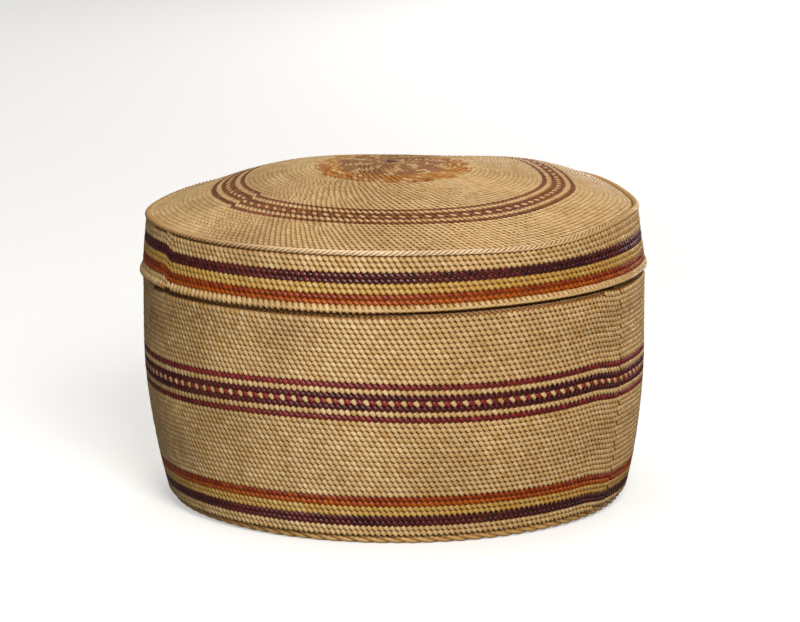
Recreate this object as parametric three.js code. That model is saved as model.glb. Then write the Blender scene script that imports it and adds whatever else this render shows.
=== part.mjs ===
// A round lidded basket of wrapped twining: runs of plain and dyed grass weft over bark warps.
// Millimetres, +Z up. The origin is the centre of the foot, where the basket stands.
// The lid sits over the basket's neck and lifts off along +Z. The front is towards -Y.

import * as THREE from 'three';

// Number of flats that stand for a full turn, and for the round of a cord
const facets = 36;
const cordFacets = 8;

// Thickness of the weave, from the outside in
const weftThickness = 1.0;
const warpThickness = 1.0;
const layerClearance = 0.3;
const courseClearance = 0.3;

// Height of one weft course on the wall and skirt, and in the thicker courses of the centre band
const coursePitch = 1.4;
const bandCoursePitch = 1.5;

// The basket's wall swells from the foot to the belly and is straight above it
const bellyRadius = 70;
const footTaper = 6.7;
const bellyHeight = 44;
const wallSwellPower = 1.45;

// The foot cord, and the base that it holds clear of the table
const footCordDiameter = 2.5;
const footCordInset = 0.05;
const baseClearance = 0.9;
const baseMatRadius = 14;
const baseInnerRadius = 38;
const baseCornerRise = 1.7;
const baseCornerRun = 2.2;

// The shoulder, which steps in to the neck under the lid
const shoulderRise = 1.3;
const shoulderRound = 1.0;
const neckClearance = 0.7;
const rimBraidHeight = 2.0;
const rimBraidProud = 0.15;
const lidSeatClearance = 0.3;

// The lid's skirt, which stands out from the belly at its edge and flares a little down to it
const skirtOverhang = 0.3;
const skirtFlare = 1.7;
const lidRimClearance = 0.4;
const edgeBraidHeight = 1.0;
const edgeBraidProud = 0.4;
const edgeCourseHeight = 1.0;
const cornerCordWidth = 2.0;
const cornerCordHeight = 1.6;
const cornerCordProud = 0.3;
const lidCornerRise = 0.8;
const lidCornerRun = 1.1;

// The lid's crown, a low dome that its maker's hand left uneven
const crownRise = 13.5;
const crownPower = 1.67;
const crownLeanShare = 0.074;
const crownSwell = 1.5;
const crownSwellAngle = THREE.MathUtils.degToRad(45);

// Colours of the grass and the bark
const straw = '#cfa76c';
const bark = '#8d6336';
const tan = '#b78a50';
const yellow = '#d0a446';
const orange = '#b3581f';
const purple = '#4c2834';
const red = '#8f3b3c';
const maroon = '#54242c';
const fadedRed = '#8b4f43';
const fadedBrown = '#a0604a';

// Runs of courses up the wall: name, number of courses, height of one, colour, steps in its outline
const wallRuns = [
  ['foot_natural_courses', 2, coursePitch, straw, 1],
  ['lower_purple_courses', 2, coursePitch, purple, 1],
  ['lower_yellow_courses', 2, coursePitch, yellow, 1],
  ['lower_orange_courses', 2, coursePitch, orange, 1],
  ['lower_field_courses', 15, coursePitch, straw, 4],
  ['band_lower_red_course', 1, bandCoursePitch, red, 1],
  ['band_lower_natural_course', 1, bandCoursePitch, straw, 1],
  ['band_lower_maroon_course', 1, bandCoursePitch, maroon, 1],
  ['band_dotted_course', 1, bandCoursePitch, tan, 1],
  ['band_upper_maroon_course', 1, bandCoursePitch, maroon, 1],
  ['band_upper_natural_course', 1, bandCoursePitch, straw, 1],
  ['band_upper_red_course', 1, bandCoursePitch, red, 1],
  ['upper_field_courses', 13, coursePitch, straw, 1],
];

// Runs of courses up the lid's skirt, above its edge
const skirtRuns = [
  ['skirt_orange_courses', 2, coursePitch, orange, 1],
  ['skirt_yellow_courses', 2, coursePitch, yellow, 1],
  ['skirt_purple_courses', 2, coursePitch, purple, 1],
  ['skirt_natural_courses', 3, coursePitch, straw, 1],
];

// Rings of courses on the crown from the centre out: name, number, colour, steps in its outline
const crownRings = [
  ['rosette_centre_courses', 3, maroon, 2],
  ['rosette_whirl_courses', 9, fadedBrown, 2],
  ['rosette_edge_courses', 5, orange, 1],
  ['crown_inner_field_courses', 15, straw, 3],
  ['crown_inner_line_course', 1, fadedRed, 1],
  ['crown_inner_natural_course', 1, straw, 1],
  ['crown_inner_maroon_course', 1, fadedRed, 1],
  ['crown_dotted_course', 1, tan, 1],
  ['crown_outer_maroon_course', 1, fadedRed, 1],
  ['crown_outer_natural_course', 1, straw, 1],
  ['crown_outer_line_course', 1, fadedRed, 1],
  ['crown_outer_field_courses', 12, straw, 2],
];

// Radii of the basket and its lid, and the height by which the crown leans
const footRadius = bellyRadius - footTaper;
const skirtFootRadius = bellyRadius + skirtOverhang;
const skirtTopRadius = skirtFootRadius - skirtFlare;
const cordOuter = skirtTopRadius + cornerCordProud;
const cordInner = cordOuter - cornerCordWidth;
const crownLean = crownLeanShare * crownRise;

// The courses of the crown share its width evenly
const crownCourses = crownRings.reduce((sum, [, count]) => sum + count, 0);
const crownCoursePitch = cordInner / crownCourses;
const crownRuns = crownRings.map(([name, count, ...look]) => [name, count, crownCoursePitch, ...look]);

// Heights that follow from the runs
const runLength = (runs) => runs.reduce((sum, [, count, pitch]) => sum + count * pitch, 0);
const layerDepth = weftThickness + layerClearance;
const weaveDepth = layerDepth + warpThickness;
const wallFoot = footCordDiameter;
const shoulderHeight = wallFoot + runLength(wallRuns);
const neckFoot = shoulderHeight + shoulderRise;
const lidRim = neckFoot + lidRimClearance;
const edgeCourseFoot = lidRim + edgeBraidHeight;
const skirtFoot = edgeCourseFoot + edgeCourseHeight;
const skirtTop = skirtFoot + runLength(skirtRuns);
const crownBase = skirtTop + cornerCordHeight / 2;
const baseUnderside = baseClearance + layerDepth;

// Outer radius of the wall at a height
function wallRadius(height) {
  const belowBelly = Math.max(0, 1 - height / bellyHeight);
  return bellyRadius - footTaper * belowBelly ** wallSwellPower;
}

// Outer radius of the lid's skirt at a height
function skirtRadius(height) {
  const share = (height - lidRim) / (skirtTop - lidRim);
  return THREE.MathUtils.lerp(skirtFootRadius, skirtTopRadius, share);
}

// Outer radius of the neck, which follows the inside of the lid
function neckRadius(height) {
  return skirtRadius(height) - weaveDepth - neckClearance;
}

// Height of the crown's outside at a radius, before the maker's hand shaped it
function crownHeight(radius) {
  return crownBase + crownRise * (1 - (radius / skirtTopRadius) ** crownPower);
}

// How much of the crown's swelling shows at a radius: none at the centre and the corner
function swellShare(radius) {
  const reach = Math.min(1, radius / skirtTopRadius) ** 2;
  return 4 * reach * (1 - reach);
}

// The uneven crown leans up towards -X and swells towards the back right
function shapeByHand(geometry) {
  const place = geometry.attributes.position;
  for (let i = 0; i < place.count; i += 1) {
    const x = place.getX(i);
    const y = place.getY(i);
    const radius = Math.hypot(x, y);
    const towardsSwell = Math.cos(Math.atan2(y, x) - crownSwellAngle);
    const lean = (-crownLean * x) / skirtTopRadius;
    const swell = crownSwell * swellShare(radius) * towardsSwell;
    const share = THREE.MathUtils.clamp((place.getZ(i) - lidRim) / (crownBase - lidRim), 0, 1);
    place.setZ(i, place.getZ(i) + share * (lean + swell));
  }
  return geometry;
}

// A solid of revolution about Z from [radius, height] points that run anticlockwise
function turned(points) {
  const outline = points.map(([radius, height]) => new THREE.Vector2(radius, height));
  const reachesAxis = points[0][0] === 0;
  if (!reachesAxis) {
    outline.push(outline[0].clone());
  }
  const geometry = new THREE.LatheGeometry(outline, facets);
  return geometry.rotateX(Math.PI / 2);
}

// Evenly spaced values from one end to the other, both included
function spread(from, to, steps) {
  return Array.from({ length: steps + 1 }, (_, i) => THREE.MathUtils.lerp(from, to, i / steps));
}

// An upright ring of weft that follows an outline of radius over height
function uprightRing(from, to, steps, outerRadius) {
  const heights = spread(from + courseClearance / 2, to - courseClearance / 2, steps);
  const outside = heights.map((height) => [outerRadius(height), height]);
  const inside = outside.map(([radius, height]) => [radius - weftThickness, height]).reverse();
  return turned([...outside, ...inside]);
}

// A flat ring of weft on the crown, or a disc where it starts at the centre
function crownRing(from, to, steps) {
  const inner = from > 0 ? from + courseClearance / 2 : 0;
  const radii = spread(inner, to - courseClearance / 2, steps);
  const top = radii.map((radius) => [radius, crownHeight(radius)]).reverse();
  const underside = radii.map((radius) => [radius, crownHeight(radius) - weftThickness]);
  return shapeByHand(turned([...underside, ...top]));
}

// A level ring or disc of weft under the base
function baseRing(from, to) {
  const inner = from > 0 ? from + courseClearance / 2 : 0;
  const outer = to - courseClearance / 2;
  const top = baseClearance + weftThickness;
  return turned([[inner, baseClearance], [outer, baseClearance], [outer, top], [inner, top]]);
}

// A plaited cord or braid, bent into a ring with a rounded section
function cordRing(innerRadius, outerRadius, bottom, top) {
  const middle = (innerRadius + outerRadius) / 2;
  const centre = (bottom + top) / 2;
  const flat = 1 / Math.cos(Math.PI / cordFacets);
  const points = Array.from({ length: cordFacets }, (_, i) => {
    const angle = ((i + 0.5) * 2 * Math.PI) / cordFacets;
    return [
      middle + ((outerRadius - innerRadius) / 2) * flat * Math.cos(angle),
      centre + ((top - bottom) / 2) * flat * Math.sin(angle),
    ];
  });
  return turned(points);
}

// The shoulder course rolls over from the wall towards the neck
function shoulderRing() {
  const foot = shoulderHeight + courseClearance / 2;
  const outer = wallRadius(foot);
  const innerTop = neckRadius(neckFoot) + courseClearance;
  return turned([
    [outer - weftThickness, foot],
    [outer, foot],
    [outer - shoulderRound / 2, neckFoot - shoulderRound / 2],
    [outer - shoulderRound, neckFoot],
    [innerTop, neckFoot],
  ]);
}

// The warps of the basket: base, wall, shoulder and neck in one cup
function basketWarps() {
  const baseEdge = footRadius - footCordDiameter - courseClearance / 2;
  const wallStart = baseUnderside + baseCornerRise;
  const shoulderStart = shoulderHeight - layerDepth / 2;
  const shoulderEnd = neckFoot + layerClearance;
  const outsideHeights = spread(wallStart, shoulderStart, 5);
  const insideHeights = spread(wallStart + warpThickness, shoulderStart - warpThickness / 2, 5);
  const neckInside = (height) => neckRadius(height) - weaveDepth;
  return turned([
    [0, baseUnderside],
    [baseEdge, baseUnderside],
    ...outsideHeights.map((height) => [wallRadius(height) - layerDepth, height]),
    [neckRadius(shoulderEnd) - layerDepth, shoulderEnd],
    [neckRadius(rimBraidFoot) - layerDepth, rimBraidFoot - courseClearance],
    [neckInside(rimBraidFoot), rimBraidFoot - courseClearance],
    [neckInside(shoulderEnd), shoulderEnd - warpThickness / 2],
    ...insideHeights.map((height) => [wallRadius(height) - weaveDepth, height]).reverse(),
    [wallRadius(wallStart) - weaveDepth - baseCornerRun, baseUnderside + warpThickness],
    [0, baseUnderside + warpThickness],
  ]);
}

// The warps of the lid: skirt and crown in one cap
function lidWarps() {
  const edge = edgeCourseFoot + courseClearance;
  const outerRadius = skirtRadius(lidCorner) - layerDepth;
  const topRadii = spread(outerRadius - lidCornerRun, 0, 6);
  const undersideRadii = spread(0, lidCornerInside - lidCornerRun, 6);
  return shapeByHand(turned([
    ...undersideRadii.map((radius) => [radius, crownHeight(radius) - weaveDepth]),
    [lidCornerInside, lidInnerCorner],
    [skirtRadius(edge) - weaveDepth, edge],
    [skirtRadius(edge) - layerDepth, edge],
    [outerRadius, lidCorner],
    ...topRadii.map((radius) => [radius, crownHeight(radius) - layerDepth]),
  ]));
}

// The lid's warps turn from the skirt to the crown over a short bevel
const lidCorner = crownBase - layerDepth - lidCornerRise;
const lidInnerCorner = lidCorner - warpThickness;
const lidCornerInside = skirtRadius(lidInnerCorner) - weaveDepth;

// The rim braid comes to just under the lowest place of the lid's bevelled underside
const rimBraidOuter = neckRadius(lidInnerCorner) + rimBraidProud;
const rimBraidInner = neckRadius(lidInnerCorner) - weaveDepth - rimBraidProud;
const bevelTop = crownHeight(lidCornerInside - lidCornerRun) - weaveDepth;
const bevelShare = (lidCornerInside - rimBraidOuter) / lidCornerRun;
const undersideAtRim = THREE.MathUtils.lerp(lidInnerCorner, bevelTop, bevelShare);
const lowestUnderside = undersideAtRim - crownLean - crownSwell * swellShare(rimBraidInner);
const rimBraidTop = lowestUnderside - lidSeatClearance;
const rimBraidFoot = rimBraidTop - rimBraidHeight;

const basket = new THREE.Group();
const lid = new THREE.Group();

// Adds one named piece of fibre to its half of the object
function addPiece(group, name, geometry, colour, roughness = 0.7) {
  const material = new THREE.MeshStandardMaterial({ color: colour, roughness, metalness: 0 });
  const piece = new THREE.Mesh(geometry, material);
  piece.name = name;
  group.add(piece);
}

// Adds each run of courses where the one before it ends
function addRuns(group, runs, start, makeRing) {
  let from = start;
  for (const [name, count, pitch, colour, steps] of runs) {
    const to = from + count * pitch;
    addPiece(group, name, makeRing(from, to, steps), colour);
    from = to;
  }
}

// The base and the foot
const footCordOuter = footRadius - footCordInset;
const footCordInner = footCordOuter - footCordDiameter;
addPiece(basket, 'base_start_mat', baseRing(0, baseMatRadius), bark, 0.8);
addPiece(basket, 'base_inner_courses', baseRing(baseMatRadius, baseInnerRadius), tan);
addPiece(basket, 'base_outer_courses', baseRing(baseInnerRadius, footCordInner), tan);
addPiece(basket, 'foot_cord', cordRing(footCordInner, footCordOuter, 0, footCordDiameter), tan);
addPiece(basket, 'basket_warps', basketWarps(), bark, 0.8);

// The wall, the shoulder and the neck
addRuns(basket, wallRuns, wallFoot, (from, to, steps) => uprightRing(from, to, steps, wallRadius));
addPiece(basket, 'shoulder_course', shoulderRing(), straw);
addPiece(basket, 'neck_courses', uprightRing(neckFoot, rimBraidFoot, 1, neckRadius), tan);
addPiece(basket, 'rim_braid', cordRing(rimBraidInner, rimBraidOuter, rimBraidFoot, rimBraidTop), tan);

// The lid's edge, skirt and corner
const edgeBraidOuter = skirtRadius(lidRim) + edgeBraidProud;
const edgeBraidInner = skirtRadius(lidRim) - weaveDepth;
const edgeBraid = cordRing(edgeBraidInner, edgeBraidOuter, lidRim, edgeCourseFoot);
const edgeCourse = uprightRing(edgeCourseFoot, skirtFoot, 1, skirtRadius);
const cordBottom = skirtTop + courseClearance / 2;
const cordTop = cordBottom + cornerCordHeight;
const cornerCord = cordRing(cordInner, cordOuter, cordBottom, cordTop);
const skirtRing = (from, to, steps) => shapeByHand(uprightRing(from, to, steps, skirtRadius));
addPiece(lid, 'lid_edge_braid', shapeByHand(edgeBraid), straw);
addPiece(lid, 'lid_edge_course', shapeByHand(edgeCourse), straw);
addRuns(lid, skirtRuns, skirtFoot, skirtRing);
addPiece(lid, 'corner_cord', shapeByHand(cornerCord), straw, 0.5);

// The lid's crown
addRuns(lid, crownRuns, 0, crownRing);
addPiece(lid, 'lid_warps', lidWarps(), bark, 0.8);

const lidded = new THREE.Group();
lidded.add(basket, lid);

export default lidded;
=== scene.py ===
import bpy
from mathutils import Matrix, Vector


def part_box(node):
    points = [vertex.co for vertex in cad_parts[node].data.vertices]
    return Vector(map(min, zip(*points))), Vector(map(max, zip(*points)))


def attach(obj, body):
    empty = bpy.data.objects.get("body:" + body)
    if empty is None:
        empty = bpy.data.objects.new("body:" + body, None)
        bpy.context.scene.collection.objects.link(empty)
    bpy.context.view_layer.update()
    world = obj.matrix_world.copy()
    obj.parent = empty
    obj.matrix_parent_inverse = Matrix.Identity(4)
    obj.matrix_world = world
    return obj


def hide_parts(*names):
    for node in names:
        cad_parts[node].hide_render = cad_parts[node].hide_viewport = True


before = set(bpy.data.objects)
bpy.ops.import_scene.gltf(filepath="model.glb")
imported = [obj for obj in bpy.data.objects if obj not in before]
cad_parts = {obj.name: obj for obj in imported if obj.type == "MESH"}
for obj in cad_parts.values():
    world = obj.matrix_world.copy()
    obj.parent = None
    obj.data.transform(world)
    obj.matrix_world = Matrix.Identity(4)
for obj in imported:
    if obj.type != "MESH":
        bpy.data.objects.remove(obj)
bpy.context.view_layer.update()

import math
from functools import partial

import bpy
import numpy as np
from bpy.props import FloatProperty, FloatVectorProperty, IntProperty, PointerProperty
from mathutils import Vector

bl_info = {
    "name": "Lidded twined basket",
    "version": (1, 0, 0),
    "blender": (4, 5, 0),
    "location": "View3D > Sidebar > Basket",
    "description": "Weaves the courses, cords and warps of a round lidded basket",
    "category": "Add Mesh",
}

MM = 0.001
FULL_TURN = 2 * math.pi
SEED = 41


def linear(colour):
    """The linear values of an sRGB hex colour."""
    shares = [int(colour[i:i + 2], 16) / 255 for i in (1, 3, 5)]
    return tuple(c / 12.92 if c <= 0.04045 else ((c + 0.055) / 1.055) ** 2.4 for c in shares)


def length(name, description, value):
    """A length in millimetres that the user can change."""
    return FloatProperty(name=name, description=description, default=value * MM, unit="LENGTH")


def share(name, description, value):
    """A share or ratio that the user can change."""
    return FloatProperty(name=name, description=description, default=value)


def dye(name, description, value):
    """A colour that the user can change."""
    return FloatVectorProperty(
        name=name, description=description, default=linear(value), subtype="COLOR",
        size=3, min=0, max=1)


class BasketStitches(bpy.types.PropertyGroup):
    """The stitches and the layers of the weave."""

    wall_round: IntProperty(
        name="Wall stitches", description="Stitches in one round of the wall", default=260, min=24)
    lid_round: IntProperty(
        name="Lid stitches", description="Stitches in one round of the skirt", default=250, min=24)
    crown_width: length("Crown stitch", "Width of one stitch on the crown", 1.64)
    course: length("Course", "Height of one course on the wall and skirt", 1.4)
    band_course: length("Band course", "Height of one course in the centre band", 1.5)
    edge_course: length("Edge course", "Height of the skirt's last course", 1.0)
    depth: length("Stitch depth", "Thickness of one stitch from front to back", 0.85)
    crown_depth: length("Crown stitch depth", "Thickness of one stitch of the crown", 0.6)
    slant: share("Slant", "How far a course is set back from the one below, in stitches", 0.464)
    weave: length("Weave", "Depth from the outside to the inside", 2.3)


class BasketSizes(bpy.types.PropertyGroup):
    """The sizes of the basket and its lid."""

    belly_radius: length("Belly radius", "Outer radius of the wall at the belly", 70)
    foot_taper: length("Foot taper", "How much smaller the radius is at the foot", 6.2)
    belly_height: length("Belly height", "Height above which the wall is straight", 44)
    swell_power: share("Swell", "Curve of the wall below the belly", 1.75)
    foot_cord: length("Foot cord", "Thickness of the cord under the wall", 2.5)
    base_clearance: length("Base clearance", "Height of the base above the table", 0.9)
    mat_radius: length("Start mat", "Radius of the plaited mat in the base", 14)
    inner_radius: length("Inner base", "Radius where the base's outer courses start", 38)
    shoulder_rise: length("Shoulder rise", "Height of the shoulder course", 1.3)
    neck_clearance: length("Neck clearance", "Room between the neck and the lid", 0.7)
    rim_braid: length("Rim braid", "Height of the braid round the mouth", 2.0)
    lid_clearance: length("Lid clearance", "Height of the lid's edge above the shoulder", 0.4)
    skirt_overhang: length("Skirt overhang", "How far the lid's edge stands out", 0.3)
    skirt_flare: length("Skirt flare", "How much the skirt widens to its edge", 1.7)
    edge_braid: length("Edge braid", "Height of the braid round the lid's edge", 1.0)
    edge_proud: length("Edge braid proud", "How far that braid stands out", 0.4)
    lip_width: length("Lip width", "Width of the smooth lip at the lid's edge", 1.4)
    lip_height: length("Lip height", "Height of the smooth lip at the lid's edge", 0.85)
    corner_width: length("Corner cord width", "Width of the cord at the lid's corner", 2.0)
    corner_height: length("Corner cord height", "Height of the cord at the lid's corner", 1.6)
    corner_proud: length("Corner cord proud", "How far that cord stands out", 0.3)
    crown_rise: length("Crown rise", "Height of the dome above the corner", 13.5)
    crown_power: share("Crown curve", "Curve of the dome", 1.67)
    corner_lean: length("Corner lean", "How much the lid's corner rises to the right", 0.2)
    corner_pitch: length("Corner pitch", "How much the lid's corner rises to the back", 0.5)
    corner_lift: length("Corner lift", "How much the whole corner rises", 0.2)
    rim_lean: length("Rim lean", "How much the lid's edge rises to the right", 0.7)
    shoulder_dip: length(
        "Shoulder dip", "How far the shoulder stays below the lid's edge at the right", 0.5)
    band_wave: length("Band wave", "How much the wall's bands wave up and down", 0.5)
    foot_lift: length("Foot lift", "How much the foot's sides rise off the table", 1.0)
    foot_aside: length("Foot aside", "How far the foot stands to the right", 0.9)
    lid_aside: length("Lid aside", "How far the lid's top stands to the left", 0.5)


# Undyed grasses and bark: name, what it is, and its colour where it is cleanest and dullest
PLAIN_COLOURS = (
    ("plain", "Straw-coloured grass", "#DEC492", "#BE9858"),
    ("glossy", "Whole grass", "#F0DCB6", "#C6A066"),
    ("aged", "Handled grass of the base and the neck", "#CFA468", "#A57A42"),
    ("bark", "Split bark", "#AE8048", "#7E5830"),
)

# Dyed grasses: name, what it is, and its colour where the dye is deepest and where it has faded
DYED_COLOURS = (
    ("purple", "Purple-dyed grass", "#361317", "#6C2825"),
    ("yellow", "Yellow-dyed grass", "#B68A30", "#CEB068"),
    ("orange", "Orange-dyed grass", "#7E2602", "#AC5404"),
    ("red", "Red-dyed grass", "#5E161A", "#98302C"),
    ("maroon", "Maroon-dyed grass", "#380C13", "#661A21"),
    ("brown", "The crown's faded red", "#6E3C22", "#9A613A"),
    ("rosette", "The rosette's red-brown", "#6E3010", "#945420"),
    ("amber", "The rosette's faded orange", "#9A4E08", "#BC8424"),
)


def two_dyes(table, ends):
    """Two colours that the user can change for each grass or bark in a table."""
    return {
        f"{name}_{end}": dye(f"{name.capitalize()}, {end}", f"{what}, {end}", value)
        for name, what, *values in table for end, value in zip(ends, values)}


class BasketColours(bpy.types.PropertyGroup):
    """The colours of the plain and dyed grasses and of the bark."""

    # The tint towards which painted shade between the stitches, with their dust, darkens them
    dust_and_shade: dye("Groove", "Tint of the dust and shade between the stitches", "#C88C2E")
    stain: dye("Stain", "Brown of age and handling", "#8A6636")
    __annotations__.update(two_dyes(PLAIN_COLOURS, ("light", "dark")))
    __annotations__.update(two_dyes(DYED_COLOURS, ("deep", "pale")))


class BasketStage(bpy.types.PropertyGroup):
    """The camera and the studio round the basket."""

    camera_distance: length("Camera distance", "From the camera to the basket", 1330)
    camera_target: FloatVectorProperty(
        name="Camera target", description="The point that the camera looks at",
        default=(1.68 * MM, 0, 51.75 * MM), size=3, subtype="TRANSLATION", unit="LENGTH")
    elevation: FloatProperty(
        name="Elevation", description="Angle from which the camera looks down",
        default=math.radians(10.9), subtype="ANGLE")
    lens: FloatProperty(
        name="Lens", description="Focal length of the lens in millimetres", default=213.75)
    floor_radius: length("Floor", "Radius of the floor, which runs out past every camera", 6000)
    pale: dye("Floor colour", "Colour of the floor and of what lies behind it", "#E4E2DE")


# Runs of courses from the bottom up: CAD node, number of courses, the size that gives the height
# of one, and finish
WALL_RUNS = (
    ("foot_natural_courses", 2, "course", "plain"),
    ("lower_purple_courses", 2, "course", "purple"),
    ("lower_yellow_courses", 2, "course", "yellow"),
    ("lower_orange_courses", 2, "course", "orange"),
    ("lower_field_courses", 15, "course", "plain"),
    ("band_lower_red_course", 1, "band_course", "red"),
    ("band_lower_natural_course", 1, "band_course", "plain"),
    ("band_lower_maroon_course", 1, "band_course", "maroon"),
    ("band_dotted_course", 1, "band_course", "dotted"),
    ("band_upper_maroon_course", 1, "band_course", "maroon"),
    ("band_upper_natural_course", 1, "band_course", "plain"),
    ("band_upper_red_course", 1, "band_course", "red"),
    ("upper_field_courses", 13, "course", "plain"),
)
SKIRT_RUNS = (
    ("lid_edge_course", 1, "edge_course", "plain"),
    ("skirt_orange_courses", 2, "course", "orange"),
    ("skirt_yellow_courses", 2, "course", "yellow"),
    ("skirt_purple_courses", 2, "course", "purple"),
    ("skirt_natural_courses", 3, "course", "plain"),
)

# Rings of courses on the crown, from the centre out: CAD node, number of courses and finish
CROWN_RINGS = (
    ("rosette_centre_courses", 3, "centre"),
    ("rosette_whirl_courses", 9, "rosette"),
    ("rosette_edge_courses", 5, "toothed"),
    ("crown_inner_field_courses", 15, "plain"),
    ("crown_inner_line_course", 1, "faded_red"),
    ("crown_inner_natural_course", 1, "plain"),
    ("crown_inner_maroon_course", 1, "faded_red"),
    ("crown_dotted_course", 1, "faded_dotted"),
    ("crown_outer_maroon_course", 1, "faded_red"),
    ("crown_outer_natural_course", 1, "plain"),
    ("crown_outer_line_course", 1, "faded_red"),
    ("crown_outer_field_courses", 12, "plain"),
)

# The front, and the jogs at which each course of the wall and of the lid ends and the next begins
FRONT = math.radians(-90)
WALL_JOG = math.radians(-27)
LID_JOG = math.radians(-150)

# Stitches over which a spiral's course sinks to meet its own start, and over which the stitches
# of a ring are eased aside
WALL_JOG_STITCHES = 9
LID_JOG_STITCHES = 3
RING_JOG_STITCHES = 12

# How far round from the front the corner cord is painted lighter, as if lit by the lamps at the front,
# and darker round the sides, as if in shade
PAINTED_LIGHT_REACH = math.radians(35)

# Where the wall's bands wave highest, and how many waves go round
WAVE_CREST = math.radians(-112)
WAVES = 4

# Shares of the wall's height over which the waves come in and go out, the foot's lift and its
# shift fade out, and the top comes to follow the lid's edge
WAVES_IN = (0.12, 0.5)
WAVES_OUT = (0.7, 0.98)
FOOT_LIFT_OUT = (0.0, 0.2)
FOOT_SHIFT_OUT = (0.0, 0.8)
TOP_FOLLOWS = (0.7, 1.0)

# Shares of the belly's radius over which the foot begins to lift, since the base stays flat
FOOT_LIFT_NEAR = (0.7, 0.9)

# Bulges and dents that hands and age gave the basket: direction in degrees, distance from
# the axis and spread as shares of the radius, and rise in millimetres
CROWN_BULGES = (
    (-18, 1.0, 0.26, 2.0), (36, 0.8, 0.25, 3.6), (80, 0.7, 0.2, -0.4), (150, 0.6, 0.26, 1.9),
    (165, 1.0, 0.3, -1.5), (-140, 1.0, 0.28, -0.6), (-150, 0.6, 0.3, 0.8), (-55, 1.0, 0.2, -0.7),
)
RIM_BULGES = ((-92, 1.0, 0.3, -0.5),)

# Marks of age on the wall: direction in degrees, then the height above the table, the half
# width and the half height in millimetres, and how dark
AGE_MARKS = (
    (-142, 58, 14, 4, 0.6), (-160, 55, 9, 6, 0.7), (-118, 59, 9, 2, 0.4), (-150, 49, 8, 5, 0.4),
    (-25, 58, 14, 1.2, 0.5), (-42, 55, 12, 0.9, 0.4), (-33, 50, 15, 0.8, 0.45), (-28, 27, 14, 1, 0.4),
    (-12, 6.7, 14, 1.5, 1.0), (-155, 35.4, 30, 0.8, 0.8), (-150, 22, 12, 5, 0.35), (-40, 22, 9, 1, 0.4),
)


def spiral_share(angle, jog):
    """How far round from the jog an angle lies, as a share of a turn."""
    return ((angle - jog) % FULL_TURN) / FULL_TURN


def smooth(values, low, high):
    """A soft step from 0 at low to 1 at high."""
    reach = np.clip((values - low) / (high - low), 0, 1)
    return reach * reach * (3 - 2 * reach)


# The shape of the basket

def wall_radius(s, height):
    """Outer radius of the wall, which swells from the foot to the belly."""
    below = np.maximum(0, 1 - height / s.belly_height)
    return s.belly_radius - s.foot_taper * below ** s.swell_power


def run_height(runs, w):
    """Height of all the courses of some runs."""
    return sum(count * getattr(w, pitch) for _, count, pitch, _ in runs)


def lid_levels(s, w):
    """Heights of the lid and the basket's shoulder that follow from the runs."""
    levels = {"shoulder": s.foot_cord + run_height(WALL_RUNS, w)}
    levels["neck"] = levels["shoulder"] + s.shoulder_rise
    levels["rim"] = levels["neck"] + s.lid_clearance
    levels["edge"] = levels["rim"] + s.edge_braid
    levels["top"] = levels["edge"] + run_height(SKIRT_RUNS, w)
    levels["crown"] = levels["top"] + s.corner_height / 2
    return levels


def skirt_radius(s, levels, height):
    """Outer radius of the lid's skirt, which flares down to its edge."""
    reach = (height - levels["rim"]) / (levels["top"] - levels["rim"])
    return s.belly_radius + s.skirt_overhang - s.skirt_flare * reach


def corner_radius(s):
    """Outer radius of the lid at its corner."""
    return s.belly_radius + s.skirt_overhang - s.skirt_flare


def neck_radius(s, w, levels, height):
    """Outer radius of the neck, which follows the inside of the skirt."""
    return skirt_radius(s, levels, height) - w.weave - s.neck_clearance


def crown_height(s, levels, radius):
    """Height of the crown's dome at a distance from its middle."""
    reach = np.clip(radius, 0, None) / corner_radius(s)
    return levels["crown"] + s.crown_rise * (1 - reach ** s.crown_power)


def bulge_rise(size, bulges, x, y):
    """How far some bulges and dents lift a place, on a form of a given radius."""
    rise = np.zeros(len(x))
    for direction, reach, spread, height in bulges:
        across = x - reach * size * math.cos(math.radians(direction))
        along = y - reach * size * math.sin(math.radians(direction))
        rise += height * MM * np.exp(-(across ** 2 + along ** 2) / (2 * (spread * size) ** 2))
    return rise


def crown_lift(s, x, y):
    """How far the crown and its corner stand above a true round form."""
    size = corner_radius(s)
    lean = s.corner_lean * x / size + s.corner_pitch * y / size + s.corner_lift
    return lean + bulge_rise(size, CROWN_BULGES, x, y)


def rim_lift(s, x, y):
    """How far the lid's edge, and the shoulder under it, stand above a level circle."""
    return s.rim_lean * x / s.belly_radius + bulge_rise(s.belly_radius, RIM_BULGES, x, y)


def lid_by_hand(s, levels, points):
    """Gives the lid the lean, bulges and dents of soft handwork."""
    x, y, z = points.T
    part = np.clip((z - levels["rim"]) / (levels["crown"] - levels["rim"]), 0, 1)
    rise = part ** 3 * crown_lift(s, x, y) + (1 - part) * rim_lift(s, x, y)
    return np.column_stack((x - s.lid_aside * part, y, z + rise))


def wall_by_hand(s, levels, points):
    """Waves the wall's courses, lifts the foot's sides and lets the top follow the lid's edge."""
    x, y, z = points.T
    angle = np.arctan2(y, x)
    height = z / levels["shoulder"]
    wave = smooth(height, *WAVES_IN) * (1 - smooth(height, *WAVES_OUT))
    wave *= s.band_wave * np.cos(WAVES * (angle - WAVE_CREST))
    near = smooth(np.hypot(x, y) / s.belly_radius, *FOOT_LIFT_NEAR)
    lift = (1 - smooth(height, *FOOT_LIFT_OUT)) * near
    lift *= s.foot_lift * (1 + np.cos(2 * angle)) / 2
    dip = s.shoulder_dip * np.clip(x / s.belly_radius, 0, 1)
    top = smooth(height, *TOP_FOLLOWS) * (rim_lift(s, x, y) - dip)
    aside = s.foot_aside * (1 - smooth(height, *FOOT_SHIFT_OUT))
    return np.column_stack((x + aside, y, z + wave + lift + top))


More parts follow.
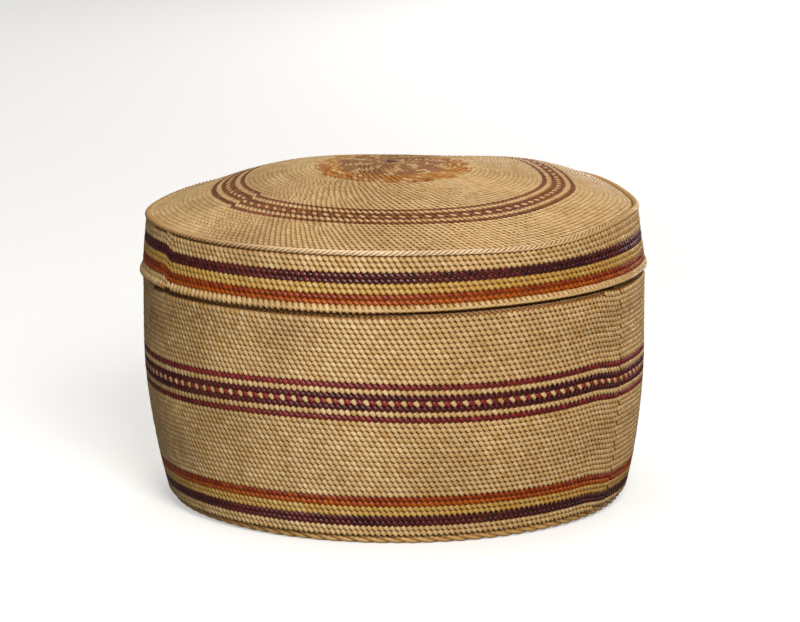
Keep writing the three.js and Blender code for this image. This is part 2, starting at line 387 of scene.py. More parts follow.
def age_marks(points):
    """How dark age and handling have made each place on the wall."""
    x, y, z = points.T
    dark = np.zeros(len(x))
    for direction, height, half_width, half_height, strength in AGE_MARKS:
        apart = (np.arctan2(y, x) - math.radians(direction) + math.pi) % FULL_TURN - math.pi
        across = apart * np.hypot(x, y) / (half_width * MM)
        above = (z - height * MM) / (half_height * MM)
        dark = np.maximum(dark, strength * np.exp(-(across ** 2 + above ** 2) / 2))
    return dark


# One stitch, and many

# How far out a strand's two tips lie, as a share of its half length, and how deep they lie,
# which is also as deep as it may dive
TIP_REACH = 1.2
DEEPEST = -0.95

# How much painted shade darkens a strand where it dives under its neighbour
DIVE_SHADE = 1.2

# On the map OFBake, the margins round a form and round one row of a long
# strand, and where a stitch's first ring lies along it
MARGIN = 0.02
ROW_MARGIN = 0.05
FIRST_RING = 0.12

# How much the stitches differ as a hand makes them: the least and greatest width and height as
# shares, and how much they vary in how they are turned and in how proud they stand
STITCH_WIDTHS = (0.95, 1.04)
STITCH_HEIGHTS = (0.96, 1.05)
STITCH_TURN = 0.035
STITCH_PROUD = 0.03

# Over how many repeats of the fine lines the strands are spread, so that no two are alike
LINE_SHIFT = 7


def within_margin(place, margin=MARGIN):
    """A place from 0 to 1 on the map, moved in by a margin."""
    return margin + (1 - 2 * margin) * place


def stitch_form(section, rings, along, across):
    """One stitch as a closed strand that leans across its course.

    section holds the places across it and below its ridge, with how much painted shade and dust
    of the groove each takes, and rings the places along it with how far they dive, which adds
    painted shade. along and across are its half length and its half width, as shares of a
    stitch's width and of a course's height."""
    # dark holds the painted shade with dust of the groove at each point, full at the two tips
    points, dark = [(-TIP_REACH * along[0], -TIP_REACH * along[1], DEEPEST)], [1.0]
    for reach, dive in rings:
        for side, down, dust_and_shade in section:
            points.append((reach * along[0] + side * across[0],
                           reach * along[1] + side * across[1],
                           max(DEEPEST, down - dive)))
            dark.append(min(1.0, dust_and_shade + DIVE_SHADE * dive))
    points.append((TIP_REACH * along[0], TIP_REACH * along[1], DEEPEST))
    dark.append(1.0)
    sides = len(section)
    stops = [within_margin(i / sides) for i in range(sides + 1)]
    steps = [MARGIN, *np.linspace(FIRST_RING, 1 - FIRST_RING, len(rings)), 1 - MARGIN]
    faces, across, along = [], [], []

    def ring(j, i):
        return 1 + j * sides + i % sides

    def add(corners, u, v):
        faces.append(corners)
        across.append(u)
        along.append(v)

    last = len(rings) - 1
    for i in range(sides):
        a, b = stops[i], stops[i + 1]
        add((0, ring(0, i + 1), ring(0, i)), ((a + b) / 2, b, a), (steps[0], steps[1], steps[1]))
        for j in range(last):
            add((ring(j, i), ring(j, i + 1), ring(j + 1, i + 1), ring(j + 1, i)),
                (a, b, b, a), (steps[j + 1], steps[j + 1], steps[j + 2], steps[j + 2]))
        add((1 + (last + 1) * sides, ring(last, i), ring(last, i + 1)), ((a + b) / 2, a, b),
            (steps[-1], steps[-2], steps[-2]))
    return {
        "points": np.array(points), "dark": np.array(dark),
        "sizes": np.array([len(f) for f in faces]),
        "loops": np.array([v for f in faces for v in f]),
        "across": np.array([u for f in across for u in f]),
        "along": np.array([v for f in along for v in f]),
    }


# Across a stitch: place, how far below its ridge, and how much painted shade and dust of the
# groove it takes. One edge of a strand stands proud of the strand beside it, and the other is tucked
# under the next
TUCKED_STRAND = ((-1.1, -0.85, 1.0), (-0.82, -0.06, 0.3), (-0.2, 0.0, 0.0), (0.55, -0.22, 0.15),
                 (1.2, -0.8, 0.8))
RIDGED_STRAND = ((-1.1, -0.8, 0.8), (-0.85, -0.08, 0.0), (-0.6, 0.0, 0.0), (-0.2, -0.2, 0.15),
                 (0.4, -0.42, 0.4), (1.2, -0.85, 1.0))
FLAT_STRAND = ((-1.2, -0.85, 1.0), (-0.6, -0.1, 0.2), (0.6, -0.1, 0.2), (1.2, -0.85, 1.0))

# Along a stitch: place, and how far it has dived
SQUARE_ENDS = ((-1.0, 0.17), (-0.65, 0.02), (0.0, 0.0), (0.65, 0.02), (1.0, 0.17))
BEADED_ENDS = ((-1.0, 0.27), (-0.62, 0.03), (0.0, 0.0), (0.62, 0.03), (1.0, 0.27))
LOW_ENDS = ((-0.8, 0.15), (0.8, 0.15))
HANGING_ENDS = ((-0.66, 0.1), (-0.4, 0.0), (0.0, 0.0), (0.4, 0.12), (0.87, 0.5))

OUTSIDE_STITCH = stitch_form(TUCKED_STRAND, SQUARE_ENDS, (-0.385, 0.385), (0.285, 0.34))
EDGE_STITCH = stitch_form(TUCKED_STRAND, HANGING_ENDS, (-0.42, 0.8), (0.29, 0.38))
CROWN_STITCH = stitch_form(RIDGED_STRAND, BEADED_ENDS, (-0.385, 0.385), (0.31, 0.37))
BEAD_STITCH = stitch_form(TUCKED_STRAND, BEADED_ENDS, (-0.38, 0.46), (0.22, 0.36))
INSIDE_STITCH = stitch_form(FLAT_STRAND, LOW_ENDS, (-0.37, 0.55), (0.3, 0.36))


def lay_stitches(form, at, draw, looks):
    """Lays a stitch at each place. at holds the middle, along, up and out vectors and the depth."""
    count = len(at["middle"])
    base = form["points"]
    wide = draw.uniform(*STITCH_WIDTHS, count)[:, None]
    tall = draw.uniform(*STITCH_HEIGHTS, count)[:, None]
    turn = draw.normal(0, STITCH_TURN, count)[:, None]
    proud = draw.normal(0, STITCH_PROUD, count)[:, None]
    row = base[:, 1][None] * tall
    across = base[:, 0][None] * wide + turn * row
    down = base[:, 2][None] + proud
    points = (at["middle"][:, None]
              + across[..., None] * at["along"][:, None]
              + row[..., None] * at["up"][:, None]
              + (down * at["depth"])[..., None] * at["out"][:, None])
    per = len(base)
    order = np.arange(count)
    loops = (form["loops"][None] + (order * per)[:, None]).ravel()
    sizes = np.tile(form["sizes"], count)
    grid = max(1, math.ceil(math.sqrt(count)))
    cell_x, cell_y = order % grid, order // grid
    bake = np.stack(((cell_x[:, None] + form["across"][None]) / grid,
                     (cell_y[:, None] + form["along"][None]) / grid), axis=-1).reshape(-1, 2)
    strand = np.stack((form["across"][None] + LINE_SHIFT * draw.random(count)[:, None],
                       form["along"][None] + LINE_SHIFT * draw.random(count)[:, None]), axis=-1)
    spread = {name: np.repeat(values, per) for name, values in looks.items()}
    # Each point's painted shade with dust of the groove
    spread["dust_and_shade"] = np.tile(form["dark"], count)
    return {"points": points.reshape(-1, 3), "loops": loops, "sizes": sizes,
            "OFBake": bake, "Strand": strand.reshape(-1, 2), "looks": spread}


def places(profile, shape, angle, row, wide, depth, behind=0.0):
    """The middle, along, up and out vectors of stitches on a surface of courses.

    profile gives radius and height at a row, and wide is each stitch's share of a turn.
    With behind, the stitches lie that far behind the surface and face the other way."""
    def point(a, r):
        radius, height = profile(r)
        return shape(np.column_stack((radius * np.cos(a), radius * np.sin(a), height)))

    # A small step in angle and in rows, which gives the directions along and up
    tiny = 0.02
    middle = point(angle, row)
    along = (point(angle + tiny, row) - point(angle - tiny, row)) / (2 * tiny)
    up = (point(angle, row + tiny) - point(angle, row - tiny)) / (2 * tiny)
    out = np.cross(along, up)
    out /= np.linalg.norm(out, axis=1)[:, None]
    along = along * (wide * FULL_TURN)[:, None]
    at = {"middle": middle, "along": along, "up": up, "out": out, "depth": depth}
    if behind:
        at.update(middle=middle - behind * out, along=-along, out=-out)
    return at


def new_piece(name, form, material, body, node):
    """Makes a piece that rides on a body and stands in for a CAD node, which it hides."""
    mesh = bpy.data.meshes.new(name)
    mesh.vertices.add(len(form["points"]))
    mesh.vertices.foreach_set("co", form["points"].astype(np.float32).ravel())
    mesh.loops.add(len(form["loops"]))
    mesh.loops.foreach_set("vertex_index", form["loops"].astype(np.int32))
    starts = np.concatenate(([0], np.cumsum(form["sizes"])[:-1]))
    mesh.polygons.add(len(form["sizes"]))
    mesh.polygons.foreach_set("loop_start", starts.astype(np.int32))
    mesh.update(calc_edges=True)
    for layer in ("OFBake", "Strand"):
        uv = mesh.uv_layers.new(name=layer).data
        uv.foreach_set("uv", form[layer].astype(np.float32).ravel())
    for look, values in form["looks"].items():
        attribute = mesh.attributes.new(look, "FLOAT", "POINT").data
        attribute.foreach_set("value", values.astype(np.float32))
    mesh.shade_smooth()
    if mesh.validate(verbose=False):
        raise RuntimeError(f"{name} has faulty faces")
    mesh.materials.append(material)
    piece = bpy.data.objects.new(name, mesh)
    bpy.context.scene.collection.objects.link(piece)
    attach(piece, body)
    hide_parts(node)


def join_forms(forms):
    """Several forms as one, side by side on the map OFBake."""
    joined = {"points": np.concatenate([f["points"] for f in forms])}
    offsets = np.cumsum([0] + [len(f["points"]) for f in forms[:-1]])
    joined["loops"] = np.concatenate([f["loops"] + o for f, o in zip(forms, offsets)])
    joined["sizes"] = np.concatenate([f["sizes"] for f in forms])
    joined["Strand"] = np.concatenate([f["Strand"] for f in forms])
    joined["OFBake"] = np.concatenate(
        [(f["OFBake"] + (i, 0)) / (len(forms), 1) for i, f in enumerate(forms)])
    joined["looks"] = {
        look: np.concatenate([f["looks"][look] for f in forms]) for look in forms[0]["looks"]}
    return joined


# Where the stitches go

def spiral_stitches(first, last, per_round, slant, jog, eased):
    """Angle and row of each stitch on a spiral, and the course that it belongs to.

    Over its last eased stitches a course sinks by one row, so that it meets its own start."""
    per_turn = per_round + slant
    turn = first + np.arange(int((last - first) * per_turn)) / per_turn
    angle = jog + turn * FULL_TURN
    course = np.floor(turn)
    row = turn - spiral_share(FRONT, jog) - smooth(turn - course, 1 - eased / per_turn, 1)
    return angle, row, course.astype(int), np.full(len(turn), 1 / per_turn)


def run_courses(runs, w):
    """Heights of the centres of the courses of some runs, above their foot."""
    pitches = np.concatenate([[getattr(w, pitch)] * count for _, count, pitch, _ in runs])
    return np.cumsum(pitches) - pitches / 2, pitches


# Rows for which a profile also holds below the first course and above the last
SPARE_ROWS = 3


def course_profile(foot, centres, pitches, radius_at):
    """Radius and height at a row, also a few rows below the first and above the last."""
    rows = np.arange(-SPARE_ROWS, len(centres) + SPARE_ROWS)
    steps = np.arange(1, SPARE_ROWS + 1)
    below = centres[0] - steps[::-1] * pitches[1]
    above = centres[-1] + steps * pitches[-1]
    heights = foot + np.concatenate((below, centres, above))

    def profile(row):
        height = np.interp(row, rows, heights)
        return radius_at(height), height
    return profile


# Columns in the middle of a ring pattern, by how much chance decides where new ones come in, and
# how often the gaps of a ring are evened out after that
FIRST_COLUMNS = 3
COLUMN_CHANCE = 0.5
EASING_PASSES = 5


def ring_columns(radii, width, most, slant, draw):
    """Angles and widths of the stitches of each ring, from the centre out.

    Each ring keeps the columns of the last one, set on by the slant, and adds new ones
    where they are widest apart."""
    gaps = np.full(FIRST_COLUMNS, FULL_TURN / FIRST_COLUMNS)
    angles = np.cumsum(gaps)
    rings = []
    for radius in radii:
        wanted = int(min(most, max(len(gaps), round(FULL_TURN * radius / width))))
        fresh = np.zeros(len(gaps), bool)
        while len(gaps) < wanted:
            rating = gaps * (1 + COLUMN_CHANCE * draw.random(len(gaps)))
            i = int(np.argmax(rating))
            gaps = np.insert(gaps, i, gaps[i] / 2)
            gaps[i + 1] = gaps[i]
            angles = np.insert(angles, i, angles[i] - gaps[i])
            fresh = np.insert(fresh, i, True)
        eased = gaps
        # Each gap keeps half of its own width and takes a quarter of either neighbour's
        for _ in range(EASING_PASSES):
            eased = 0.5 * eased + 0.25 * (np.roll(eased, 1) + np.roll(eased, -1))
        moved = angles[0] - gaps[0] + np.cumsum(eased)
        moved -= np.mean((moved - angles)[~fresh])
        gaps = eased
        angles = moved + slant * 0.5 * (gaps + np.roll(gaps, -1))
        rings.append((angles % FULL_TURN, 0.5 * (gaps + np.roll(gaps, -1)) / FULL_TURN))
    return rings


# Tone of the plain stitches on the sides and on the crown, and how much it varies by chance
SIDE_TONE, CROWN_TONE, TONE_SPREAD = 0.5, 0.75, 0.2

# How far a dye has faded: at least, where it drifts, and by chance. Its drift round the basket
# is a sum of waves, each with its strength, how many go round and its start
FADE_LEAST, FADE_DRIFT, FADE_SPREAD = 0.15, 0.4, 0.18
DRIFT_WAVES = ((0.3, 3, 1.3), (0.2, 7, 4.0))

# How far the lower and the upper orange course have faded, how much more the dotted courses
# have, and the least that the yellow grass took of its dye
LOWER_ORANGE, UPPER_ORANGE = 0.75, 0.2
DOTTED_FADE = 0.2
YELLOW_LEAST = 0.75

# The rosette's orange edge: its teeth, the distance from the middle at which they begin, how far
# they reach out and how much farther at the front, and its stitches: the share left plain, the
# least that the others took of the dye, and how much its fading varies
TEETH = 26
TEETH_START, TEETH_REACH, TEETH_FRONT = 18.5 * MM, 4.8 * MM, 3.5 * MM
TEETH_PLAIN, TEETH_LEAST, TEETH_SPREAD = 0.15, 0.6, 0.3

# The rosette's whirl: its arms, how they wind outward, the light share of each and the distance
# from the middle at which they begin, then the dye of its light and dark stitches and the share
# of stitches that strayed
ARMS, ARM_WIND, ARM_LIGHT, ARM_START = 9, 0.55, 0.34, 5.5 * MM
LIGHT_DYE, DARK_DYE, STRAYED = 0.2, 0.75, 0.08

# The rosette's centre: its dye in the middle and at the least, the distance over which it thins
# out, and how much more it has faded
CENTRE_DYE, CENTRE_LEAST, CENTRE_REACH, CENTRE_FADE = 1.3, 0.3, 3 * MM, 0.3


def looks_for(finish, angle, course, courses, draw, radius=None):
    """How each stitch takes its dye: 0 plain to 1 dyed, 0 deep to 1 faded, and its tone."""
    count = len(angle)

    def by_chance(middle, spread):
        return np.clip(middle + draw.normal(0, spread, count), 0, 1)

    tone = by_chance(SIDE_TONE if radius is None else CROWN_TONE, TONE_SPREAD)
    drift = sum((strength * np.sin(many * angle + start) for strength, many, start in DRIFT_WAVES), 0.5)
    fade = by_chance(FADE_LEAST + FADE_DRIFT * drift, FADE_SPREAD)
    dyed = np.ones(count)
    if finish in ("plain", "aged"):
        dyed = np.zeros(count)
    elif finish == "orange":
        fade = by_chance(np.where(course == courses - 1, UPPER_ORANGE, LOWER_ORANGE), FADE_SPREAD)
    elif finish == "yellow":
        dyed = draw.uniform(YELLOW_LEAST, 1.0, count)
    elif finish in ("dotted", "faded_dotted"):
        dyed = (np.arange(count) % 2).astype(float)
        fade = np.clip(fade + DOTTED_FADE, 0, 1)
    elif finish == "toothed":
        tooth = np.abs(((angle / FULL_TURN * TEETH) % 1) - 0.5) * 2
        reach = TEETH_START + TEETH_REACH * tooth + TEETH_FRONT * np.clip(-np.sin(angle), 0, 1)
        dyed = (radius < reach).astype(float)
        dyed *= (draw.random(count) > TEETH_PLAIN) * draw.uniform(TEETH_LEAST, 1.0, count)
        fade = by_chance(0.5, TEETH_SPREAD)
    elif finish == "centre":
        dyed = np.clip(CENTRE_DYE - radius / CENTRE_REACH, CENTRE_LEAST, 1)
        fade = np.clip(fade + CENTRE_FADE, 0, 1)
    elif finish == "rosette":
        arm = (angle / FULL_TURN * ARMS + ARM_WIND * np.log(np.maximum(radius, MM) / MM)) % 1
        light = (arm < ARM_LIGHT) & (radius > ARM_START)
        dyed = np.where(light, LIGHT_DYE, DARK_DYE)
        dyed = np.where(draw.random(count) < STRAYED, 1 - dyed, dyed)
    return {"tone": tone, "dyed": dyed, "fade": fade}


# Cords and braids

# Strands of a cord or braid, and the sides that a strand is modelled with
STRANDS = 3
STRAND_SIDES = 8

# How much a strand swells and thins, how fast in radians a step, and how far its start may lie
SWELL, SWELL_PACE, SWELL_START = 0.05, 0.37, 6

# Lines on a strand: repeats for each step along it, and how far they may be shifted
LINES_A_STEP = 0.12
CORD_LINE_SHIFT = 5

# The least and greatest tone of a cord's strand, and the value of a look that doesn't vary
CORD_TONES = (0.35, 0.65)
EVEN = 0.5

# Where a cord's strands come out of the painted shade and dust of its groove, as shares of its half
# thickness
CORD_GROOVE = (0.55, 0.9)

# How far a braid's strands swing across and up, and their own width and height, as shares of
# half its width and height
BRAID_SWING = (0.6, 0.42)
BRAID_STRAND = (0.4, 0.55)

# The cords: turns in one round, below 0 where they wind the other way, the steps to a turn, and
# how far from the middle the strands run, as a share. The braid has no such share
FOOT_CORD = (-30, 18, 0.46)
EDGE_CORD = (-84, 12, 0.52)
CORNER_CORD = (87, 16, 0.55)
RIM_BRAID = (58, 16)


def grid_corners(rows, sides):
    """Row and side of the four corners of each face of a grid."""
    i, j = np.meshgrid(np.arange(rows), np.arange(sides), indexing="ij")
    return np.stack((i, i + 1, i + 1, i), axis=-1), np.stack((j, j, j + 1, j + 1), axis=-1)


def tube_form(paths, wide, tall, sides, draw, radial):
    """Closed strands along closed paths. radial gives the outward direction at each point."""
    forms = []
    for path, outward in zip(paths, radial):
        count = len(path)
        ahead = np.roll(path, -1, axis=0) - np.roll(path, 1, axis=0)
        ahead /= np.linalg.norm(ahead, axis=1)[:, None]
        across = outward - np.sum(outward * ahead, axis=1)[:, None] * ahead
        across /= np.linalg.norm(across, axis=1)[:, None]
        upward = np.cross(across, ahead)
        turns = np.arange(sides) * FULL_TURN / sides
        swell = 1 + SWELL * np.sin(np.arange(count) * SWELL_PACE + draw.random() * SWELL_START)
        swell = swell[:, None, None]
        points = (path[:, None]
                  + swell * wide * np.cos(turns)[None, :, None] * across[:, None]
                  + swell * tall * np.sin(turns)[None, :, None] * upward[:, None]).reshape(-1, 3)
        row, side = grid_corners(count, sides)
        rows = max(1, int(math.sqrt(count / sides)))
        per_row = math.ceil(count / rows)
        line = row[..., :1] // per_row
        bake = np.stack((within_margin((row - line * per_row) / per_row),
                         (line + within_margin(side / sides, ROW_MARGIN)) / rows), axis=-1)
        strand = np.stack((side / sides, row * LINES_A_STEP), axis=-1).reshape(-1, 2)
        forms.append({
            "points": points, "loops": (row % count * sides + side % sides).ravel(),
            "sizes": np.full(count * sides, 4), "OFBake": bake.reshape(-1, 2),
            "Strand": strand + draw.random(2) * CORD_LINE_SHIFT,
            "looks": {"tone": np.full(count * sides, draw.uniform(*CORD_TONES)),
                      "dyed": np.zeros(count * sides), "fade": np.full(count * sides, EVEN)}})
    return join_forms(forms)


def ring_path(radius, height, steps, offset):
    """A closed path round the axis, with how far it lies outward and up at each angle."""
    angle = np.arange(steps) * FULL_TURN / steps
    across, upward = offset(angle)
    r = radius + across
    path = np.column_stack((r * np.cos(angle), r * np.sin(angle), height + upward))
    return path, np.column_stack((np.cos(angle), np.sin(angle), np.zeros(steps)))


def cord_form(radius, height, half_width, half_height, steps, swing, strand, draw):
    """Strands that run round the axis, each where swing puts it at an angle and a phase.

    strand holds the width and height of one strand as shares of the cord's."""
    paths, sides = [], []
    for k in range(STRANDS):
        path, outward = ring_path(radius, height, steps, partial(swing, k * FULL_TURN / STRANDS))
        paths.append(path)
        sides.append(outward)
    form = tube_form(paths, half_width * strand[0], half_height * strand[1], STRAND_SIDES, draw, sides)
    x, y, z = form["points"].T
    out = np.hypot((np.hypot(x, y) - radius) / half_width, (z - height) / half_height)
    # Painted shade with dust between the strands, darkest where they lie near the cord's middle
    form["looks"]["dust_and_shade"] = 1 - smooth(out, *CORD_GROOVE)
    return form


def laid_cord(radius, height, half_width, half_height, turns, per_turn, core, draw):
    """Strands laid round each other into a cord that runs round the axis."""
    def swing(phase, angle):
        turn = turns * angle + phase
        return half_width * core * np.cos(turn), half_height * core * np.sin(turn)

    return cord_form(radius, height, half_width, half_height, abs(turns) * per_turn, swing,
                     (1 - core, 1 - core), draw)


def braided_cord(radius, height, half_width, half_height, turns, per_turn, draw):
    """Strands that pass over and under each other round the axis."""
    def swing(phase, angle):
        turn = turns * angle + phase
        across, upward = BRAID_SWING
        return half_width * across * np.sin(turn), half_height * upward * np.sin(2 * turn)

    return cord_form(radius, height, half_width, half_height, turns * per_turn, swing,
                     BRAID_STRAND, draw)


# The warps' shells have ridges from this far out, take this much painted shade, since they lie in the
# shade of the weave, and repeat their lines this often. On the map their ends are this high, and the
# last starts here
RIDGES_FROM = 5 * MM
SHELL_SHADE = 0.6
SHELL_LINES = 40
END_SHARE, END_PLACE = 0.01, 0.985


def closed_shell(outline, columns, ridges, ridge_depth, shape):
    """A shell turned from an outline of radius and height, ridged by its warps.

    The outline begins and ends on the axis, where a fan of faces closes it."""
    turned = np.array(outline[1:-1])
    count = len(turned)
    angle = np.arange(columns) * FULL_TURN / columns
    ridge = ridge_depth * np.cos(angle * ridges)
    r = turned[:, :1] + ridge[None] * (turned[:, :1] > RIDGES_FROM)
    height = np.repeat(turned[:, 1:], columns, axis=1)
    ends = [(0, 0, outline[0][1]), (0, 0, outline[-1][1])]
    points = np.stack((r * np.cos(angle), r * np.sin(angle), height), axis=-1).reshape(-1, 3)
    points = shape(np.concatenate((points, ends)))
    # The corners the other way round, so that the faces look outward
    row, side = (corners[..., [0, 3, 2, 1]] for corners in grid_corners(count - 1, columns))
    loops = (row * columns + side % columns).ravel()
    uv = np.stack((side / columns, row / (count - 1)), axis=-1).reshape(-1, 2)
    j = np.arange(columns)
    beside = (j + 1) % columns
    first = count * columns
    base = first - columns
    start = np.stack((np.full(columns, first), beside, j), axis=-1)
    end = np.stack((np.full(columns, first + 1), base + j, base + beside), axis=-1)
    fan = np.stack((np.stack(((j + 0.5) / columns, np.zeros(columns)), -1),
                    np.stack(((j + 1) / columns, np.full(columns, END_SHARE)), -1),
                    np.stack((j / columns, np.full(columns, END_SHARE)), -1)), axis=1).reshape(-1, 2)
    total = len(points)
    return {
        "points": points,
        "loops": np.concatenate((loops, start.ravel(), end.ravel())),
        "sizes": np.concatenate((np.full(len(loops) // 4, 4), np.full(2 * columns, 3))),
        "OFBake": np.concatenate((
            uv * (1, 1 - 2 * MARGIN) + (0, MARGIN), fan, fan + (0, END_PLACE))),
        "Strand": np.concatenate((uv, fan, fan)) * SHELL_LINES,
        "looks": {"tone": np.full(total, EVEN), "dyed": np.zeros(total),
                  "fade": np.full(total, EVEN), "dust_and_shade": np.full(total, SHELL_SHADE)},
    }


# Finishes

def add_node(tree, kind, inputs, **settings):
    """Adds a node with its settings, and the values or sockets that feed its inputs."""
    node = tree.nodes.new(kind)
    for name, value in settings.items():
        setattr(node, name, value)
    for name, value in inputs.items():
        if isinstance(value, bpy.types.NodeSocket):
            tree.links.new(value, node.inputs[name])
        else:
            node.inputs[name].default_value = value
    return node


def rgba(colour):
    """A colour with full cover."""
    return (*colour, 1)


# Fine lines across and along a stitch, since blades of grass are grooved lengthwise
LINES_ACROSS, LINES_ALONG = 11, 1.3

# Age darkens patches of one size, and a finer mottle lies over them
PATCH_SIZE, MOTTLE_SIZE = 25 * MM, 3 * MM

# The part of each noise that shows as a change, from none of it to all of it
LINE_RANGE = (0.3, 0.7)
MOTTLE_RANGE = (0.45, 0.75)
PATCH_RANGE = (0.42, 0.72)
GROOVE_RANGE = (0.1, 1.0)

# How strong each change is at its most: mottle and stain, the share of the stain that is left
# at the right and on dyed grass, then marks of age, lines, and the painted shade and dust of the
# grooves
MOTTLE, STAIN, STAIN_RIGHT, STAIN_DYED = 0.35, 0.55, 0.35, 0.2
AGE, LINE, GROOVE = 0.7, 0.3, 0.8

# Places at the left and the right, in metres, between which the stain gets weaker
AGED_LEFT, AGED_RIGHT = -0.07, 0.05

# How the lines are raised, and how much smoother and rougher they make a strand
LINE_BUMP, LINE_HEIGHT = 0.35, 0.06 * MM
SMOOTHER, ROUGHER = 0.06, 0.1

# How strongly dried grass and bark bend light
FIBRE_IOR = 1.4


def fibre(name, light, dark, deep, pale, colours, roughness):
    """A strand of grass or bark: fine lines along it, age on its face, and painted shade with dust in
    its grooves.
    """
    material = bpy.data.materials.get(name)
    if material:
        return material
    material = bpy.data.materials.new(name)
    material.use_nodes = True
    tree = material.node_tree
    tree.nodes.clear()

    def mix(factor, a, b, blend="MIX"):
        return add_node(tree, "ShaderNodeMix", {0: factor, 6: a, 7: b},
                        data_type="RGBA", blend_type=blend).outputs[2]

    def times(a, b):
        return add_node(tree, "ShaderNodeMath", {0: a, 1: b}, operation="MULTIPLY").outputs[0]

    def attribute(look):
        return add_node(tree, "ShaderNodeAttribute", {}, attribute_name=look).outputs["Fac"]

    def noise(vector, scale, detail, rough):
        return add_node(tree, "ShaderNodeTexNoise", {
            "Vector": vector, "Scale": scale, "Detail": detail, "Roughness": rough,
        }).outputs["Fac"]

    def ranged(value, span, to_low, to_high):
        return add_node(tree, "ShaderNodeMapRange", {
            "Value": value, "From Min": span[0], "From Max": span[1], "To Min": to_low,
            "To Max": to_high}, clamp=True).outputs["Result"]

    where = add_node(tree, "ShaderNodeTexCoord", {}).outputs["Object"]
    strand = add_node(tree, "ShaderNodeUVMap", {}, uv_map="Strand").outputs["UV"]
    lines_at = add_node(tree, "ShaderNodeMapping", {
        "Vector": strand, "Scale": (LINES_ACROSS, LINES_ALONG, 1)}).outputs[0]
    lines = noise(lines_at, 1.0, detail=3.0, rough=0.6)
    patches = noise(where, 1 / PATCH_SIZE, detail=2.0, rough=0.5)
    mottle = noise(where, 1 / MOTTLE_SIZE, detail=2.0, rough=0.6)
    place = add_node(tree, "ShaderNodeSeparateXYZ", {"Vector": where}).outputs["X"]
    left = ranged(place, (AGED_LEFT, AGED_RIGHT), 1.0, 0.0)

    plain = mix(attribute("tone"), rgba(dark), rgba(light))
    plain = mix(ranged(mottle, MOTTLE_RANGE, 0.0, MOTTLE), plain, rgba(dark))
    dyed = mix(attribute("fade"), rgba(deep), rgba(pale))
    colour = mix(attribute("dyed"), plain, dyed)
    stain = times(ranged(patches, PATCH_RANGE, 0.0, STAIN), ranged(left, (0.0, 1.0), STAIN_RIGHT, 1.0))
    # A dye hides most of it
    stain = times(stain, ranged(attribute("dyed"), (0.0, 1.0), 1.0, STAIN_DYED))
    colour = mix(stain, colour, rgba(colours.stain))
    aged = ranged(attribute("age"), (0.0, 1.0), 0.0, AGE)
    colour = mix(aged, colour, rgba(colours.stain), "MULTIPLY")
    # Fine lines darken the colour towards the groove's tint, and painted shade with dust darkens the
    # grooves
    for shade in (ranged(lines, LINE_RANGE, LINE, 0.0),
                  ranged(attribute("dust_and_shade"), GROOVE_RANGE, 0.0, GROOVE)):
        colour = mix(shade, colour, rgba(colours.dust_and_shade), "MULTIPLY")
    bump = add_node(tree, "ShaderNodeBump", {
        "Strength": LINE_BUMP, "Distance": LINE_HEIGHT, "Height": lines}).outputs["Normal"]
    shader = add_node(tree, "ShaderNodeBsdfPrincipled", {
        "Base Color": colour, "IOR": FIBRE_IOR, "Normal": bump,
        "Roughness": ranged(lines, LINE_RANGE, roughness - SMOOTHER, roughness + ROUGHER)})
    add_node(tree, "ShaderNodeOutputMaterial", {"Surface": shader.outputs["BSDF"]})
    return material


# Finishes without a dye: the material's name, its light and dark colour and how rough it is
PLAIN_FINISHES = {
    # Dried grass, split and twined: pale, with a silky gloss along each strand
    "plain": ("plain grass twined", "plain_light", "plain_dark", 0.4),
    # The same grass, unsplit and laid into a cord, so that its glossy skin is outside
    "glossy": ("whole grass laid in cord", "glossy_light", "glossy_dark", 0.32),
    # Grass that hands and shelves have rubbed: darker and nearly matt
    "aged": ("aged grass twined", "aged_light", "aged_dark", 0.6),
    # Grass laid into the foot's cord: rubbed as well, but paler on its outside
    "foot": ("aged grass laid in cord", "aged_light", "plain_dark", 0.4),
    # Inner bark, split into flat strips: brown and matt
    "bark": ("split bark strips", "bark_light", "bark_dark", 0.6),
}

# Grass dyed before it is twined, whose dye is deepest where light has not reached it: the
# material's name, its dye and how rough it is. The crown's faded grasses are duller
DYED_FINISHES = {
    "purple": ("purple dyed grass twined", "purple", 0.3),
    "centre": ("purple dyed grass twined", "purple", 0.3),
    "yellow": ("yellow dyed grass twined", "yellow", 0.4),
    "orange": ("orange dyed grass twined", "orange", 0.4),
    "red": ("red dyed grass twined", "red", 0.4),
    "dotted": ("red dyed grass twined", "red", 0.4),
    "maroon": ("maroon dyed grass twined", "maroon", 0.4),
    "faded_red": ("faded red grass twined", "brown", 0.55),
    "faded_dotted": ("faded red grass twined", "brown", 0.55),
    "toothed": ("faded orange grass twined", "amber", 0.6),
    "rosette": ("red brown grass twined", "rosette", 0.6),
}


def finish(kind, colours):
    """The material of a finish. Without a dye, the plain colours stand in for the dye's."""
    if kind in PLAIN_FINISHES:
        name, light, dark, roughness = PLAIN_FINISHES[kind]
        used = (light, dark, light, dark)
    else:
        name, colour, roughness = DYED_FINISHES[kind]
        used = ("plain_light", "plain_dark", f"{colour}_deep", f"{colour}_pale")
    return fibre(name, *(getattr(colours, colour) for colour in used), colours, roughness)


def piece_name(node):
    """The name of the woven piece that stands for a CAD node."""
    return node.replace("_courses", "_weft").replace("_course", "_weft")


# Making each part

# How much the marks of age vary from stitch to stitch
AGE_SPREAD = (0.5, 1.2)

# The lid's lip: how much fuller it is under a stitch, the steps to a stitch, and its sides
LIP_RIPPLE, LIP_STEPS, LIP_SIDES = 0.05 * MM, 4, 10


def measures(context):
    """The sizes, the stitches, and the levels that follow from them."""
    s, w = context.scene.basket_sizes, context.scene.basket_stitches
    return s, w, lid_levels(s, w)


def between(values, low, high):
    """Which values lie between two others."""
    return (values > low) & (values < high)


def weave_piece(context, name, node, body, kind, form):
    """Makes a woven piece with its finish."""
    new_piece(name, form, finish(kind, context.scene.basket_colours), body, node)


